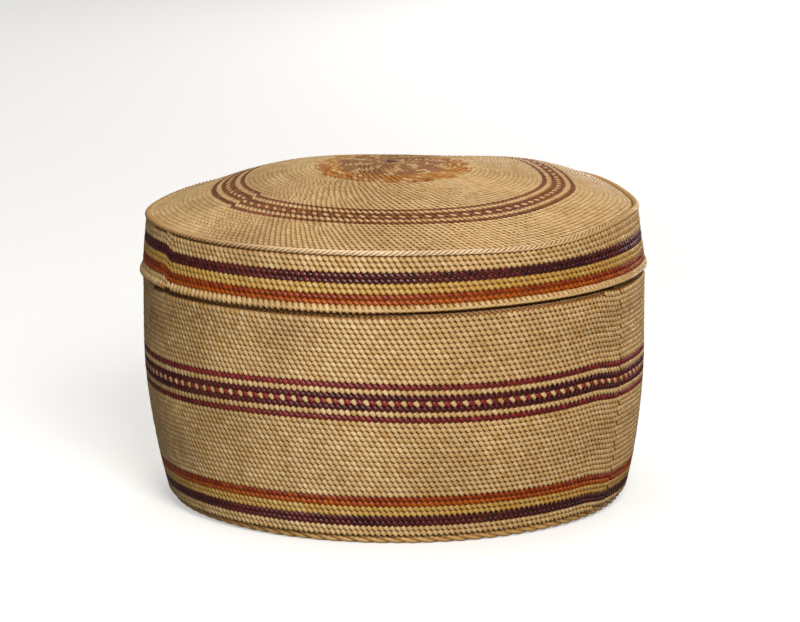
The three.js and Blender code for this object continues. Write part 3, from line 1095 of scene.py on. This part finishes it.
def weave_runs(context, runs, body, stitches, profile, shape, low, high, draw):
    """Weaves each run of courses between two heights as a piece of its own."""
    angle, row, course, wide = stitches
    fits = between(profile(row)[1], low, high)
    first = 0
    for number, (node, count, pitch, kind) in enumerate(runs):
        last = first + count
        mine = fits.copy()
        if number > 0:
            mine &= course >= first
        if number < len(runs) - 1:
            mine &= course < last
        at = places(profile, shape, angle[mine], row[mine], wide[mine],
                    context.scene.basket_stitches.depth)
        looks = looks_for(kind, angle[mine], course[mine] - first, count, draw)
        looks["age"] = age_marks(at["middle"]) * draw.uniform(*AGE_SPREAD, len(at["middle"]))
        stitch = EDGE_STITCH if pitch == "edge_course" else OUTSIDE_STITCH
        weave_piece(context, piece_name(node), node, body, kind,
                    lay_stitches(stitch, at, draw, looks))
        first = last


def weave_inside(context, name, node, body, stitches, mine, profile, shape, draw):
    """Weaves the back of some of the stitches, which shows inside."""
    w = context.scene.basket_stitches
    angle, row, course, wide = (values[mine] for values in stitches)
    at = places(profile, shape, angle, row, wide, w.depth, w.weave)
    looks = looks_for("aged", angle, course, 1, draw)
    weave_piece(context, name, node, body, "aged", lay_stitches(INSIDE_STITCH, at, draw, looks))


def lip_form(s, w, levels, shape, draw):
    """The lid's edge as a smooth round lip, a little fuller under each stitch."""
    outer = skirt_radius(s, levels, levels["rim"]) + s.edge_proud
    half_width, half_height = s.lip_width / 2, s.lip_height / 2

    def fuller(angle):
        ripple = LIP_RIPPLE * np.cos(w.lid_round * angle)
        return ripple, ripple

    path, outward = ring_path(outer - half_width, levels["edge"] - half_height,
                              w.lid_round * LIP_STEPS, fuller)
    lip = tube_form([shape(path)], half_width, half_height, LIP_SIDES, draw, [outward])
    lip["looks"]["dust_and_shade"] = np.zeros(len(lip["points"]))
    return lip


def meet_at_jog(angle, wide, jog):
    """Eases a ring's stitches aside, so that one ends at the jog and the next begins there."""
    apart = (angle - jog + math.pi) % FULL_TURN - math.pi
    nearest = np.argmin(np.abs(apart))
    gap = wide[nearest] * FULL_TURN
    aside = math.copysign(gap / 2, apart[nearest]) - apart[nearest]
    return (angle + aside * np.clip(1 - np.abs(apart) / (RING_JOG_STITCHES * gap), 0, 1)) % FULL_TURN


def ring_stitches(radii, width, most, slant, jog, outward, draw):
    """Angle, row, ring number and width of the stitches of some rings, from the centre out."""
    rings = ring_columns(radii, width, most, slant, draw)
    rings = [(meet_at_jog(angle, wide, jog), wide) for angle, wide in rings]
    angle = np.concatenate([a for a, _ in rings])
    wide = np.concatenate([g for _, g in rings])
    ring = np.concatenate([np.full(len(a), k) for k, (a, _) in enumerate(rings)])
    shift = spiral_share(angle, jog) - spiral_share(FRONT, jog)
    return angle, outward * ring + shift, ring, wide


# A flat strip: its cross-section in shares of its half width and half thickness, the tones of
# the strips, how much painted shade and dust of the groove their edges take, the repeats of their
# lines, and the corner of the map that their cut ends share
STRIP_SECTION = ((1, 0), (0.8, 0.75), (0, 1), (-0.8, 0.75),
                 (-1, 0), (-0.8, -0.75), (0, -1), (0.8, -0.75))
STRIP_TONES = (0.2, 0.8)
STRIP_GROOVE = 0.6
STRIP_LINES = 6
STRIP_END = ((0.0, 0.0), (0.002, 0.0), (0.002, 0.01))

# The plaited mat: strips beside the middle one, how many lie from there to the mat's edge, how
# far past it they reach, the points along each, and its wave, half width and half thickness as
# shares of the mat's and of its pitch
MAT_STRIPS, MAT_PITCHES, MAT_REACH, MAT_POINTS = 4, 4.83, 1.02, 48
MAT_WAVE, MAT_WIDTH, MAT_HEIGHT = 0.48, 0.47, 0.46


def strip_form(path, across, half_width, half_height, draw):
    """A flat strip along an open path, rounded at its edges and cut off at its ends."""
    section = np.array(STRIP_SECTION)
    count, sides = len(path), len(section)
    ahead = np.gradient(path, axis=0)
    ahead /= np.linalg.norm(ahead, axis=1)[:, None]
    upward = np.cross(across, ahead)
    upward /= np.linalg.norm(upward, axis=1)[:, None]
    points = (path[:, None] + section[None, :, :1] * half_width * np.asarray(across)
              + section[None, :, 1:] * half_height * upward[:, None]).reshape(-1, 3)
    points = np.concatenate((points, path[:1], path[-1:]))
    row, side = grid_corners(count - 1, sides)
    quads = (row * sides + side % sides).ravel()
    uv = np.stack((row / (count - 1), side / sides), axis=-1).reshape(-1, 2)
    j = np.arange(sides)
    beside = (j + 1) % sides
    first = count * sides
    last = first - sides
    start = np.stack((np.full(sides, first), j, beside), axis=-1).ravel()
    end = np.stack((np.full(sides, first + 1), last + beside, last + j), axis=-1).ravel()
    ends = np.tile(STRIP_END, (2 * sides, 1))
    total = len(points)
    tone = draw.uniform(*STRIP_TONES)
    # Painted shade with dust at the strips' edges, full at their cut ends
    edge = np.concatenate((np.tile(np.abs(section[:, 0]) ** 3 * STRIP_GROOVE, count), (1, 1)))
    lines = np.concatenate((uv[:, ::-1] * (1, STRIP_LINES), ends))
    return {"points": points, "loops": np.concatenate((quads, start, end)),
            "sizes": np.concatenate((np.full(len(quads) // 4, 4), np.full(2 * sides, 3))),
            "OFBake": np.concatenate((within_margin(uv), ends)),
            "Strand": lines + draw.random(2) * CORD_LINE_SHIFT,
            "looks": {"tone": np.full(total, tone), "dyed": np.zeros(total),
                      "fade": np.full(total, EVEN), "dust_and_shade": edge}}


def plaited_mat(radius, height, half_height, draw):
    """Flat strips plaited over and under each other, cut to a round mat."""
    pitch = radius / MAT_PITCHES
    forms = []
    for direction in (0, 1):
        for k in range(-MAT_STRIPS, MAT_STRIPS + 1):
            offset = k * pitch
            reach = math.sqrt(max(0, (radius * MAT_REACH) ** 2 - offset * offset))
            run = np.linspace(-reach, reach, MAT_POINTS)
            wave = MAT_WAVE * half_height * np.cos(math.pi * (run / pitch + k + direction))
            lie = [run, np.full(MAT_POINTS, offset)]
            across = (0, 1, 0)
            if direction:
                lie.reverse()
                across = (1, 0, 0)
            path = np.column_stack((*lie, height + wave))
            forms.append(strip_form(path, across, pitch * MAT_WIDTH, half_height * MAT_HEIGHT, draw))
    return join_forms(forms)


# Where rows of stitches begin and end, in courses. The wall's begin this far above the foot
# cord and the skirt's as far below its edge, and both end this far past their top
FIRST_ROW, LAST_ROW = 0.1, 0.3

# The neck's begin this far above its foot
NECK_ROW = 0.3

# The crown's begin this far from its middle and end this far past its edge. None is smaller
# than the last of these
CROWN_FIRST, CROWN_LAST, CROWN_LEAST = 0.4, 0.1, 0.1

# The base's begin this far past the mat and end as far past the foot cord's inner side, and on
# the inside they run on farther
BASE_ROW, BASE_INSIDE_ROW = 0.2, 0.9

# The shoulder course rolls in under the lid. For each row: how far in from its outside it lies
# and how far above the neck's foot, in millimetres
SHOULDER_ROLL = ((-1, 0.5, -2.1), (0, 1.7, -1.2), (0.5, 2.1, -0.8), (1, 2.5, -0.5), (2, 3.3, -0.2))

# Thickness of the shoulder's stitches as a share of the wall's
SHOULDER_DEPTH = 0.8

# How much wider than half the weave the rim's braid is on either side
RIM_FULLER = 0.15 * MM

# The cord behind the lid's edge: how far in from the lip's outside its middle lies, and its half
# width, as shares of half the room
EDGE_IN, EDGE_WIDTH = 1.3, 0.7

# How far the corner cord lies above the skirt's top
CORNER_GAP = 0.15 * MM


class BASKET_OT_weave_base(bpy.types.Operator):
    """Plaits the start mat and twines the base's courses and the foot cord round it"""

    bl_idname = "basket.weave_base"
    bl_label = "Weave the base"

    def execute(self, context):
        s, w, levels = measures(context)
        draw = np.random.default_rng(SEED + 2)
        by_hand = partial(wall_by_hand, s, levels)
        low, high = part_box("base_start_mat")
        half = (high.z - low.z) / 2
        mat = plaited_mat(s.mat_radius, low.z + half, half, draw)
        weave_piece(context, "base_start_mat_plait", "base_start_mat", "basket", "bark", mat)
        inside = plaited_mat(s.mat_radius, low.z + w.weave - half, half, draw)
        weave_piece(context, "base_inside_mat", "basket_warps", "basket", "bark", inside)

        pitch = w.course
        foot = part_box("foot_cord")[1].x
        edge = foot - s.foot_cord
        count = math.ceil((edge - s.mat_radius) / pitch) + 1
        radii = s.mat_radius + (np.arange(count) + 0.5) * pitch
        stitches = ring_stitches(radii, w.crown_width, w.wall_round, -w.slant, WALL_JOG, 1, draw)

        def base(row):
            radius = s.mat_radius + (row + 0.5) * pitch
            return radius, np.full(len(row), s.base_clearance)

        angle, row, ring, wide = stitches
        radius = base(row)[0]
        start = s.mat_radius + BASE_ROW * pitch
        fits = between(radius, start, edge + BASE_ROW * pitch)
        inner = s.mat_radius + (ring + 0.5) * pitch < s.inner_radius
        for node, mine in (("base_inner_courses", fits & inner), ("base_outer_courses", fits & ~inner)):
            at = places(base, by_hand, angle[mine], row[mine], wide[mine], w.depth)
            looks = looks_for("aged", angle[mine], ring[mine], 1, draw)
            weave_piece(context, piece_name(node), node, "basket", "aged",
                        lay_stitches(OUTSIDE_STITCH, at, draw, looks))
        weave_inside(context, "base_inside_weft", "basket_warps", "basket", stitches,
                     between(radius, start, edge + BASE_INSIDE_ROW * pitch), base, by_hand, draw)

        half = s.foot_cord / 2
        cord = laid_cord(foot - half, half, half, half, *FOOT_CORD, draw)
        cord["points"] = by_hand(cord["points"])
        weave_piece(context, "foot_cord_plait", "foot_cord", "basket", "foot", cord)
        return {"FINISHED"}


class BASKET_OT_weave_wall(bpy.types.Operator):
    """Twines the runs of courses up the basket's wall"""

    bl_idname = "basket.weave_wall"
    bl_label = "Weave the wall"

    def execute(self, context):
        s, w, levels = measures(context)
        draw = np.random.default_rng(SEED)
        by_hand = partial(wall_by_hand, s, levels)
        centres, pitches = run_courses(WALL_RUNS, w)
        profile = course_profile(s.foot_cord, centres, pitches, partial(wall_radius, s))
        stitches = spiral_stitches(-1, len(centres) + 2, w.wall_round, w.slant, WALL_JOG,
                                   WALL_JOG_STITCHES)
        low = s.foot_cord + FIRST_ROW * w.course
        high = levels["shoulder"] + LAST_ROW * w.course
        weave_runs(context, WALL_RUNS, "basket", stitches, profile, by_hand, low, high, draw)
        mine = between(profile(stitches[1])[1], low + w.weave / 2, high)
        weave_inside(context, "wall_inside_weft", "basket_warps", "basket", stitches, mine,
                     profile, by_hand, draw)
        return {"FINISHED"}


class BASKET_OT_weave_neck(bpy.types.Operator):
    """Twines the shoulder and the neck, and braids the rim of the basket's mouth"""

    bl_idname = "basket.weave_neck"
    bl_label = "Weave the shoulder, neck and rim"

    def execute(self, context):
        s, w, levels = measures(context)
        draw = np.random.default_rng(SEED + 1)
        by_hand = partial(wall_by_hand, s, levels)
        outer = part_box("shoulder_course")[1].x
        rolled, inward, above = np.array(SHOULDER_ROLL).T

        def shoulder(row):
            radius = outer - np.interp(row, rolled, inward) * MM
            return radius, levels["neck"] + np.interp(row, rolled, above) * MM

        angle, _, course, wide = spiral_stitches(
            0, 2, w.wall_round, w.slant, WALL_JOG, WALL_JOG_STITCHES)
        at = places(shoulder, by_hand, angle, course.astype(float), wide, w.depth * SHOULDER_DEPTH)
        looks = looks_for("plain", angle, course, 2, draw)
        weave_piece(context, "shoulder_weft", "shoulder_course", "basket", "plain",
                    lay_stitches(OUTSIDE_STITCH, at, draw, looks))

        low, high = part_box("neck_courses")
        count = round((high.z - low.z) / w.course)
        pitches = np.full(count, (high.z - low.z) / count)
        profile = course_profile(low.z, np.cumsum(pitches) - pitches / 2, pitches,
                                 partial(neck_radius, s, w, levels))
        stitches = spiral_stitches(-1, count + 2, w.lid_round, w.slant, WALL_JOG,
                                   WALL_JOG_STITCHES)
        weave_runs(context, (("neck_courses", count, "course", "aged"),), "basket", stitches,
                   profile, by_hand, low.z + NECK_ROW * w.course, high.z, draw)
        mine = between(profile(stitches[1])[1], levels["shoulder"], high.z)
        weave_inside(context, "neck_inside_weft", "basket_warps", "basket", stitches, mine,
                     profile, by_hand, draw)

        low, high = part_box("rim_braid")
        half_width = w.weave / 2 + RIM_FULLER
        half_height = (high.z - low.z) / 2
        braid = braided_cord(high.x - half_width, low.z + half_height, half_width, half_height,
                             *RIM_BRAID, draw)
        braid["points"] = by_hand(braid["points"])
        weave_piece(context, "rim_plait", "rim_braid", "basket", "aged", braid)
        return {"FINISHED"}


# How far behind the outside the warps' faces lie, and how far their ridges stand out
WARP_FRONT, WARP_BACK = 0.7 * MM, 1.5 * MM
WARP_RIDGE = 0.08 * MM

# The base's warps end this far inside the foot cord, and on the inside this much farther in
WARP_TURN, WARP_INSIDE_TURN = 0.5 * MM, 1.5 * MM

# The wall's warps begin at this share of the cord's height and end this far below the shoulder,
# and on the inside they lie this much lower
WARP_FOOT, WARP_SHOULDER, WARP_DROP = 1.2, 1.6 * MM, 0.5 * MM

# The neck's warps begin this far below its foot and end this far above the foot of the rim's braid
WARP_NECK, WARP_RIM = 0.6 * MM, 0.4 * MM

# How far inside the skirt's two edges and the crown's corner the lid's warps end, and how much
# farther out they reach on the crown's outside
SKIRT_KEEP, CORNER_KEEP, CROWN_OUTSIDE = 0.2 * MM, 0.6 * MM, 1.01

# Points along each stretch of the warps: base, wall, neck, crown and skirt
BASE_POINTS, WALL_POINTS, NECK_POINTS, CROWN_POINTS, SKIRT_POINTS = 6, 16, 4, 12, 6


class BASKET_OT_set_warps(bpy.types.Operator):
    """Sets the bark warps of the basket and of the lid behind their courses"""

    bl_idname = "basket.set_warps"
    bl_label = "Set the warps"

    def execute(self, context):
        s, w, levels = measures(context)
        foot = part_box("foot_cord")[1].x - s.foot_cord
        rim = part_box("rim_braid")[0].z + WARP_RIM
        bottom, floor = s.base_clearance + WARP_FRONT, s.base_clearance + WARP_BACK
        wall = np.linspace(s.foot_cord * WARP_FOOT, levels["shoulder"] - WARP_SHOULDER, WALL_POINTS)
        neck = np.linspace(levels["neck"] - WARP_NECK, rim, NECK_POINTS)
        reach = np.linspace(0, foot - WARP_TURN, BASE_POINTS)
        outline = [(r, bottom) for r in reach]
        outline += [(wall_radius(s, h) - WARP_FRONT, h) for h in wall]
        outline += [(neck_radius(s, w, levels, h) - WARP_FRONT, h) for h in neck]
        outline += [(neck_radius(s, w, levels, h) - WARP_BACK, h) for h in neck[::-1]]
        outline += [(wall_radius(s, h) - WARP_BACK, h) for h in wall[::-1] - WARP_DROP]
        outline += [(r - (WARP_INSIDE_TURN if r else 0), floor) for r in reach[::-1]]
        cup = closed_shell(outline, w.wall_round * 2, w.wall_round, WARP_RIDGE,
                           partial(wall_by_hand, s, levels))
        weave_piece(context, "basket_warp_cup", "basket_warps", "basket", "bark", cup)

        low, high = levels["edge"] + SKIRT_KEEP, levels["top"] - SKIRT_KEEP
        skirt = np.linspace(low, high, SKIRT_POINTS)
        reach = np.linspace(0, corner_radius(s) - WARP_BACK - CORNER_KEEP, CROWN_POINTS)
        outline = [(r, crown_height(s, levels, r) - WARP_BACK) for r in reach]
        outline += [(skirt_radius(s, levels, h) - WARP_BACK, h) for h in skirt[::-1]]
        outline += [(skirt_radius(s, levels, h) - WARP_FRONT, h) for h in skirt]
        outline += [(r, crown_height(s, levels, r) - WARP_FRONT) for r in reach[::-1] * CROWN_OUTSIDE]
        cap = closed_shell(outline, w.lid_round * 2, w.lid_round, WARP_RIDGE,
                           partial(lid_by_hand, s, levels))
        weave_piece(context, "lid_warp_cap", "lid_warps", "lid", "bark", cap)
        return {"FINISHED"}


class BASKET_OT_weave_skirt(bpy.types.Operator):
    """Twines the courses of the lid's skirt and plaits its edge and its corner cord"""

    bl_idname = "basket.weave_skirt"
    bl_label = "Weave the skirt"

    def execute(self, context):
        s, w, levels = measures(context)
        draw = np.random.default_rng(SEED + 3)
        by_hand = partial(lid_by_hand, s, levels)
        centres, pitches = run_courses(SKIRT_RUNS, w)

        def skirt(height):
            above = (height - levels["edge"]) / w.edge_course
            return skirt_radius(s, levels, height) + s.edge_proud * np.clip(1 - above, 0, 1)

        profile = course_profile(levels["edge"], centres, pitches, skirt)
        stitches = spiral_stitches(-1, len(centres) + 2, w.lid_round, w.slant, LID_JOG,
                                   LID_JOG_STITCHES)
        low = levels["edge"] - FIRST_ROW * w.edge_course
        high = levels["top"] + LAST_ROW * w.course
        weave_runs(context, SKIRT_RUNS, "lid", stitches, profile, by_hand, low, high, draw)
        mine = between(profile(stitches[1])[1], low, levels["top"] - w.course)
        weave_inside(context, "skirt_inside_weft", "lid_warps", "lid", stitches, mine,
                     profile, by_hand, draw)

        weave_piece(context, "lid_edge_plait", "lid_edge_braid", "lid", "plain",
                    lip_form(s, w, levels, by_hand, draw))
        back = (w.weave + s.edge_proud) / 2
        middle = skirt_radius(s, levels, levels["rim"]) + s.edge_proud - EDGE_IN * back
        edge = laid_cord(middle, levels["rim"] + s.edge_braid / 2, EDGE_WIDTH * back,
                         s.edge_braid / 2, *EDGE_CORD, draw)
        edge["points"] = by_hand(edge["points"])
        weave_piece(context, "lid_edge_inside_plait", "lid_edge_braid", "lid", "aged", edge)

        half_width, half_height = s.corner_width / 2, s.corner_height / 2
        middle = corner_radius(s) + s.corner_proud - half_width
        height = levels["top"] + CORNER_GAP + half_height
        cord = laid_cord(middle, height, half_width, half_height, *CORNER_CORD, draw)
        x, y, _ = cord["points"].T
        # Painted light: the cord's tone is lightest at the front and darker round the sides
        cord["looks"]["tone"] = np.exp(-((np.arctan2(y, x) - FRONT) / PAINTED_LIGHT_REACH) ** 2)
        cord["points"] = by_hand(cord["points"])
        weave_piece(context, "corner_cord_plait", "corner_cord", "lid", "glossy", cord)
        return {"FINISHED"}


class BASKET_OT_weave_crown(bpy.types.Operator):
    """Twines the rings of courses of the lid's crown, with its rosette and its band"""

    bl_idname = "basket.weave_crown"
    bl_label = "Weave the crown"

    def execute(self, context):
        s, w, levels = measures(context)
        draw = np.random.default_rng(SEED + 4)
        by_hand = partial(lid_by_hand, s, levels)
        inner = corner_radius(s) + s.corner_proud - s.corner_width
        rings = sum(count for _, count, _ in CROWN_RINGS)
        pitch = inner / rings
        radii = (np.arange(rings + 1) + 0.5) * pitch
        stitches = ring_stitches(radii, w.crown_width, w.lid_round, w.slant, LID_JOG, -1, draw)

        def crown(row):
            radius = np.maximum((0.5 - row) * pitch, CROWN_LEAST * pitch)
            return radius, crown_height(s, levels, radius)

        angle, row, ring, wide = stitches
        radius = crown(row)[0]
        fits = between(radius, CROWN_FIRST * pitch, inner + CROWN_LAST * pitch)
        first = 0
        for number, (node, count, kind) in enumerate(CROWN_RINGS):
            last = first + count
            mine = fits & (ring >= first)
            if number < len(CROWN_RINGS) - 1:
                mine &= ring < last
            at = places(crown, by_hand, angle[mine], row[mine], wide[mine], w.crown_depth)
            looks = looks_for(kind, angle[mine], ring[mine], count, draw, radius[mine])
            stitch = BEAD_STITCH if kind == "plain" and count == 1 else CROWN_STITCH
            weave_piece(context, piece_name(node), node, "lid", kind,
                        lay_stitches(stitch, at, draw, looks))
            first = last
        weave_inside(context, "crown_inside_weft", "lid_warps", "lid", stitches,
                     fits & (radius < inner - w.weave / 2), crown, by_hand, draw)
        return {"FINISHED"}


# The studio

# How far the floor shows its own colour where little light reaches it, how much of its light it
# throws back on the basket, how rough it is and the sides of its round edge
GLOW = 0.6
BOUNCE = 0.3
FLOOR_ROUGHNESS = 0.8
FLOOR_SIDES = 96

# The lamps: name, place in metres, size and power. The key stands at the front on the right,
# the fill opens the shadows at the left, the top lights the crown, and the back, which stands
# low, only the far side
LAMPS = (
    ("key", (0.2, -1.0, 0.62), 0.4, 12.9),
    ("fill", (-0.4, -1.1, 0.35), 0.7, 1.6),
    ("top", (-0.15, 0.1, 1.2), 0.6, 3.8),
    ("back", (0.45, 1.1, 0.12), 0.5, 7.0),
)
LAMP_TARGET = (0, 0, 0.05)

# The light that comes evenly from all sides, the camera's sensor in millimetres, and the
# nearest and farthest that it sees in metres
EVEN_LIGHT = (0.085, 0.085, 0.085)
SENSOR = 36
NEAREST, FARTHEST = 0.05, 20


def studio_finish(name, colour):
    """Smooth painted board, pale and matt, that throws little light back on the basket."""
    material = bpy.data.materials.new(name)
    material.use_nodes = True
    tree = material.node_tree
    tree.nodes.clear()
    seen = add_node(tree, "ShaderNodeLightPath", {}).outputs["Is Camera Ray"]
    dim = [c * BOUNCE for c in colour]
    board = add_node(tree, "ShaderNodeMix", {0: seen, 6: rgba(dim), 7: rgba(colour)}, data_type="RGBA")
    glow = add_node(tree, "ShaderNodeMath", {0: seen, 1: GLOW}, operation="MULTIPLY").outputs[0]
    shader = add_node(tree, "ShaderNodeBsdfPrincipled", {
        "Base Color": board.outputs[2], "Roughness": FLOOR_ROUGHNESS, "Emission Color": rgba(colour),
        "Emission Strength": glow})
    add_node(tree, "ShaderNodeOutputMaterial", {"Surface": shader.outputs["BSDF"]})
    return material


def area_lamp(name, place, size, power):
    """Adds a square lamp that points at the basket."""
    lamp = bpy.data.lights.new(name, "AREA")
    lamp.size = size
    lamp.energy = power
    holder = bpy.data.objects.new(name, lamp)
    holder.location = place
    aim = Vector(LAMP_TARGET) - Vector(place)
    holder.rotation_euler = aim.to_track_quat("-Z", "Y").to_euler()
    bpy.context.scene.collection.objects.link(holder)


class BASKET_OT_set_stage(bpy.types.Operator):
    """Sets the floor, the lamps and the camera"""

    bl_idname = "basket.set_stage"
    bl_label = "Set the stage"

    def execute(self, context):
        stage = context.scene.basket_stage
        turns = np.arange(FLOOR_SIDES) * FULL_TURN / FLOOR_SIDES
        edge = [(stage.floor_radius * math.cos(a), stage.floor_radius * math.sin(a), 0) for a in turns]
        mesh = bpy.data.meshes.new("floor")
        mesh.from_pydata(edge, [], [tuple(range(len(edge)))])
        mesh.materials.append(studio_finish("pale painted board", stage.pale))
        floor = bpy.data.objects.new("floor", mesh)
        context.scene.collection.objects.link(floor)

        for lamp in LAMPS:
            area_lamp(*lamp)
        world = bpy.data.worlds.new("studio")
        world.use_nodes = True
        tree = world.node_tree
        tree.nodes.clear()
        seen = add_node(tree, "ShaderNodeLightPath", {}).outputs["Is Camera Ray"]
        behind = [c * GLOW for c in stage.pale]
        light = add_node(tree, "ShaderNodeMix", {
            0: seen, 6: rgba(EVEN_LIGHT), 7: rgba(behind)}, data_type="RGBA").outputs[2]
        background = add_node(tree, "ShaderNodeBackground", {"Color": light, "Strength": 1.0})
        add_node(tree, "ShaderNodeOutputWorld", {"Surface": background.outputs[0]})
        context.scene.world = world

        camera = bpy.data.cameras.new("camera")
        camera.sensor_width = SENSOR
        camera.lens = stage.lens
        camera.clip_start = NEAREST
        camera.clip_end = FARTHEST
        holder = bpy.data.objects.new("camera", camera)
        aim = Vector(stage.camera_target)
        away = Vector((0, -math.cos(stage.elevation), math.sin(stage.elevation)))
        holder.location = aim + stage.camera_distance * away
        holder.rotation_euler = (-away).to_track_quat("-Z", "Y").to_euler()
        context.scene.collection.objects.link(holder)
        context.scene.camera = holder
        context.scene.view_settings.view_transform = "Standard"
        return {"FINISHED"}


# The panel

STEPS = (
    BASKET_OT_set_stage, BASKET_OT_weave_base, BASKET_OT_set_warps, BASKET_OT_weave_wall,
    BASKET_OT_weave_neck, BASKET_OT_weave_skirt, BASKET_OT_weave_crown,
)
GROUPS = {
    "basket_sizes": BasketSizes, "basket_stitches": BasketStitches,
    "basket_colours": BasketColours, "basket_stage": BasketStage,
}


class BASKET_PT_panel(bpy.types.Panel):
    """Lists the sizes and colours of the basket and the steps that make it"""

    bl_idname = "BASKET_PT_panel"
    bl_label = "Basket"
    bl_space_type = "VIEW_3D"
    bl_region_type = "UI"
    bl_category = "Basket"

    def draw(self, context):
        for step in STEPS:
            self.layout.operator(step.bl_idname)
        for name, group in GROUPS.items():
            box = self.layout.box()
            for prop in group.bl_rna.properties:
                if prop.identifier not in ("rna_type", "name"):
                    box.prop(getattr(context.scene, name), prop.identifier)


def register():
    for cls in (*GROUPS.values(), *STEPS, BASKET_PT_panel):
        bpy.utils.register_class(cls)
    for name, group in GROUPS.items():
        setattr(bpy.types.Scene, name, PointerProperty(type=group))


def unregister():
    for name in GROUPS:
        delattr(bpy.types.Scene, name)
    for cls in reversed((*GROUPS.values(), *STEPS, BASKET_PT_panel)):
        bpy.utils.unregister_class(cls)


def main():
    register()
    for step in STEPS:
        category, name = step.bl_idname.split(".")
        getattr(getattr(bpy.ops, category), name)()


if __name__ == "__main__":
    main()
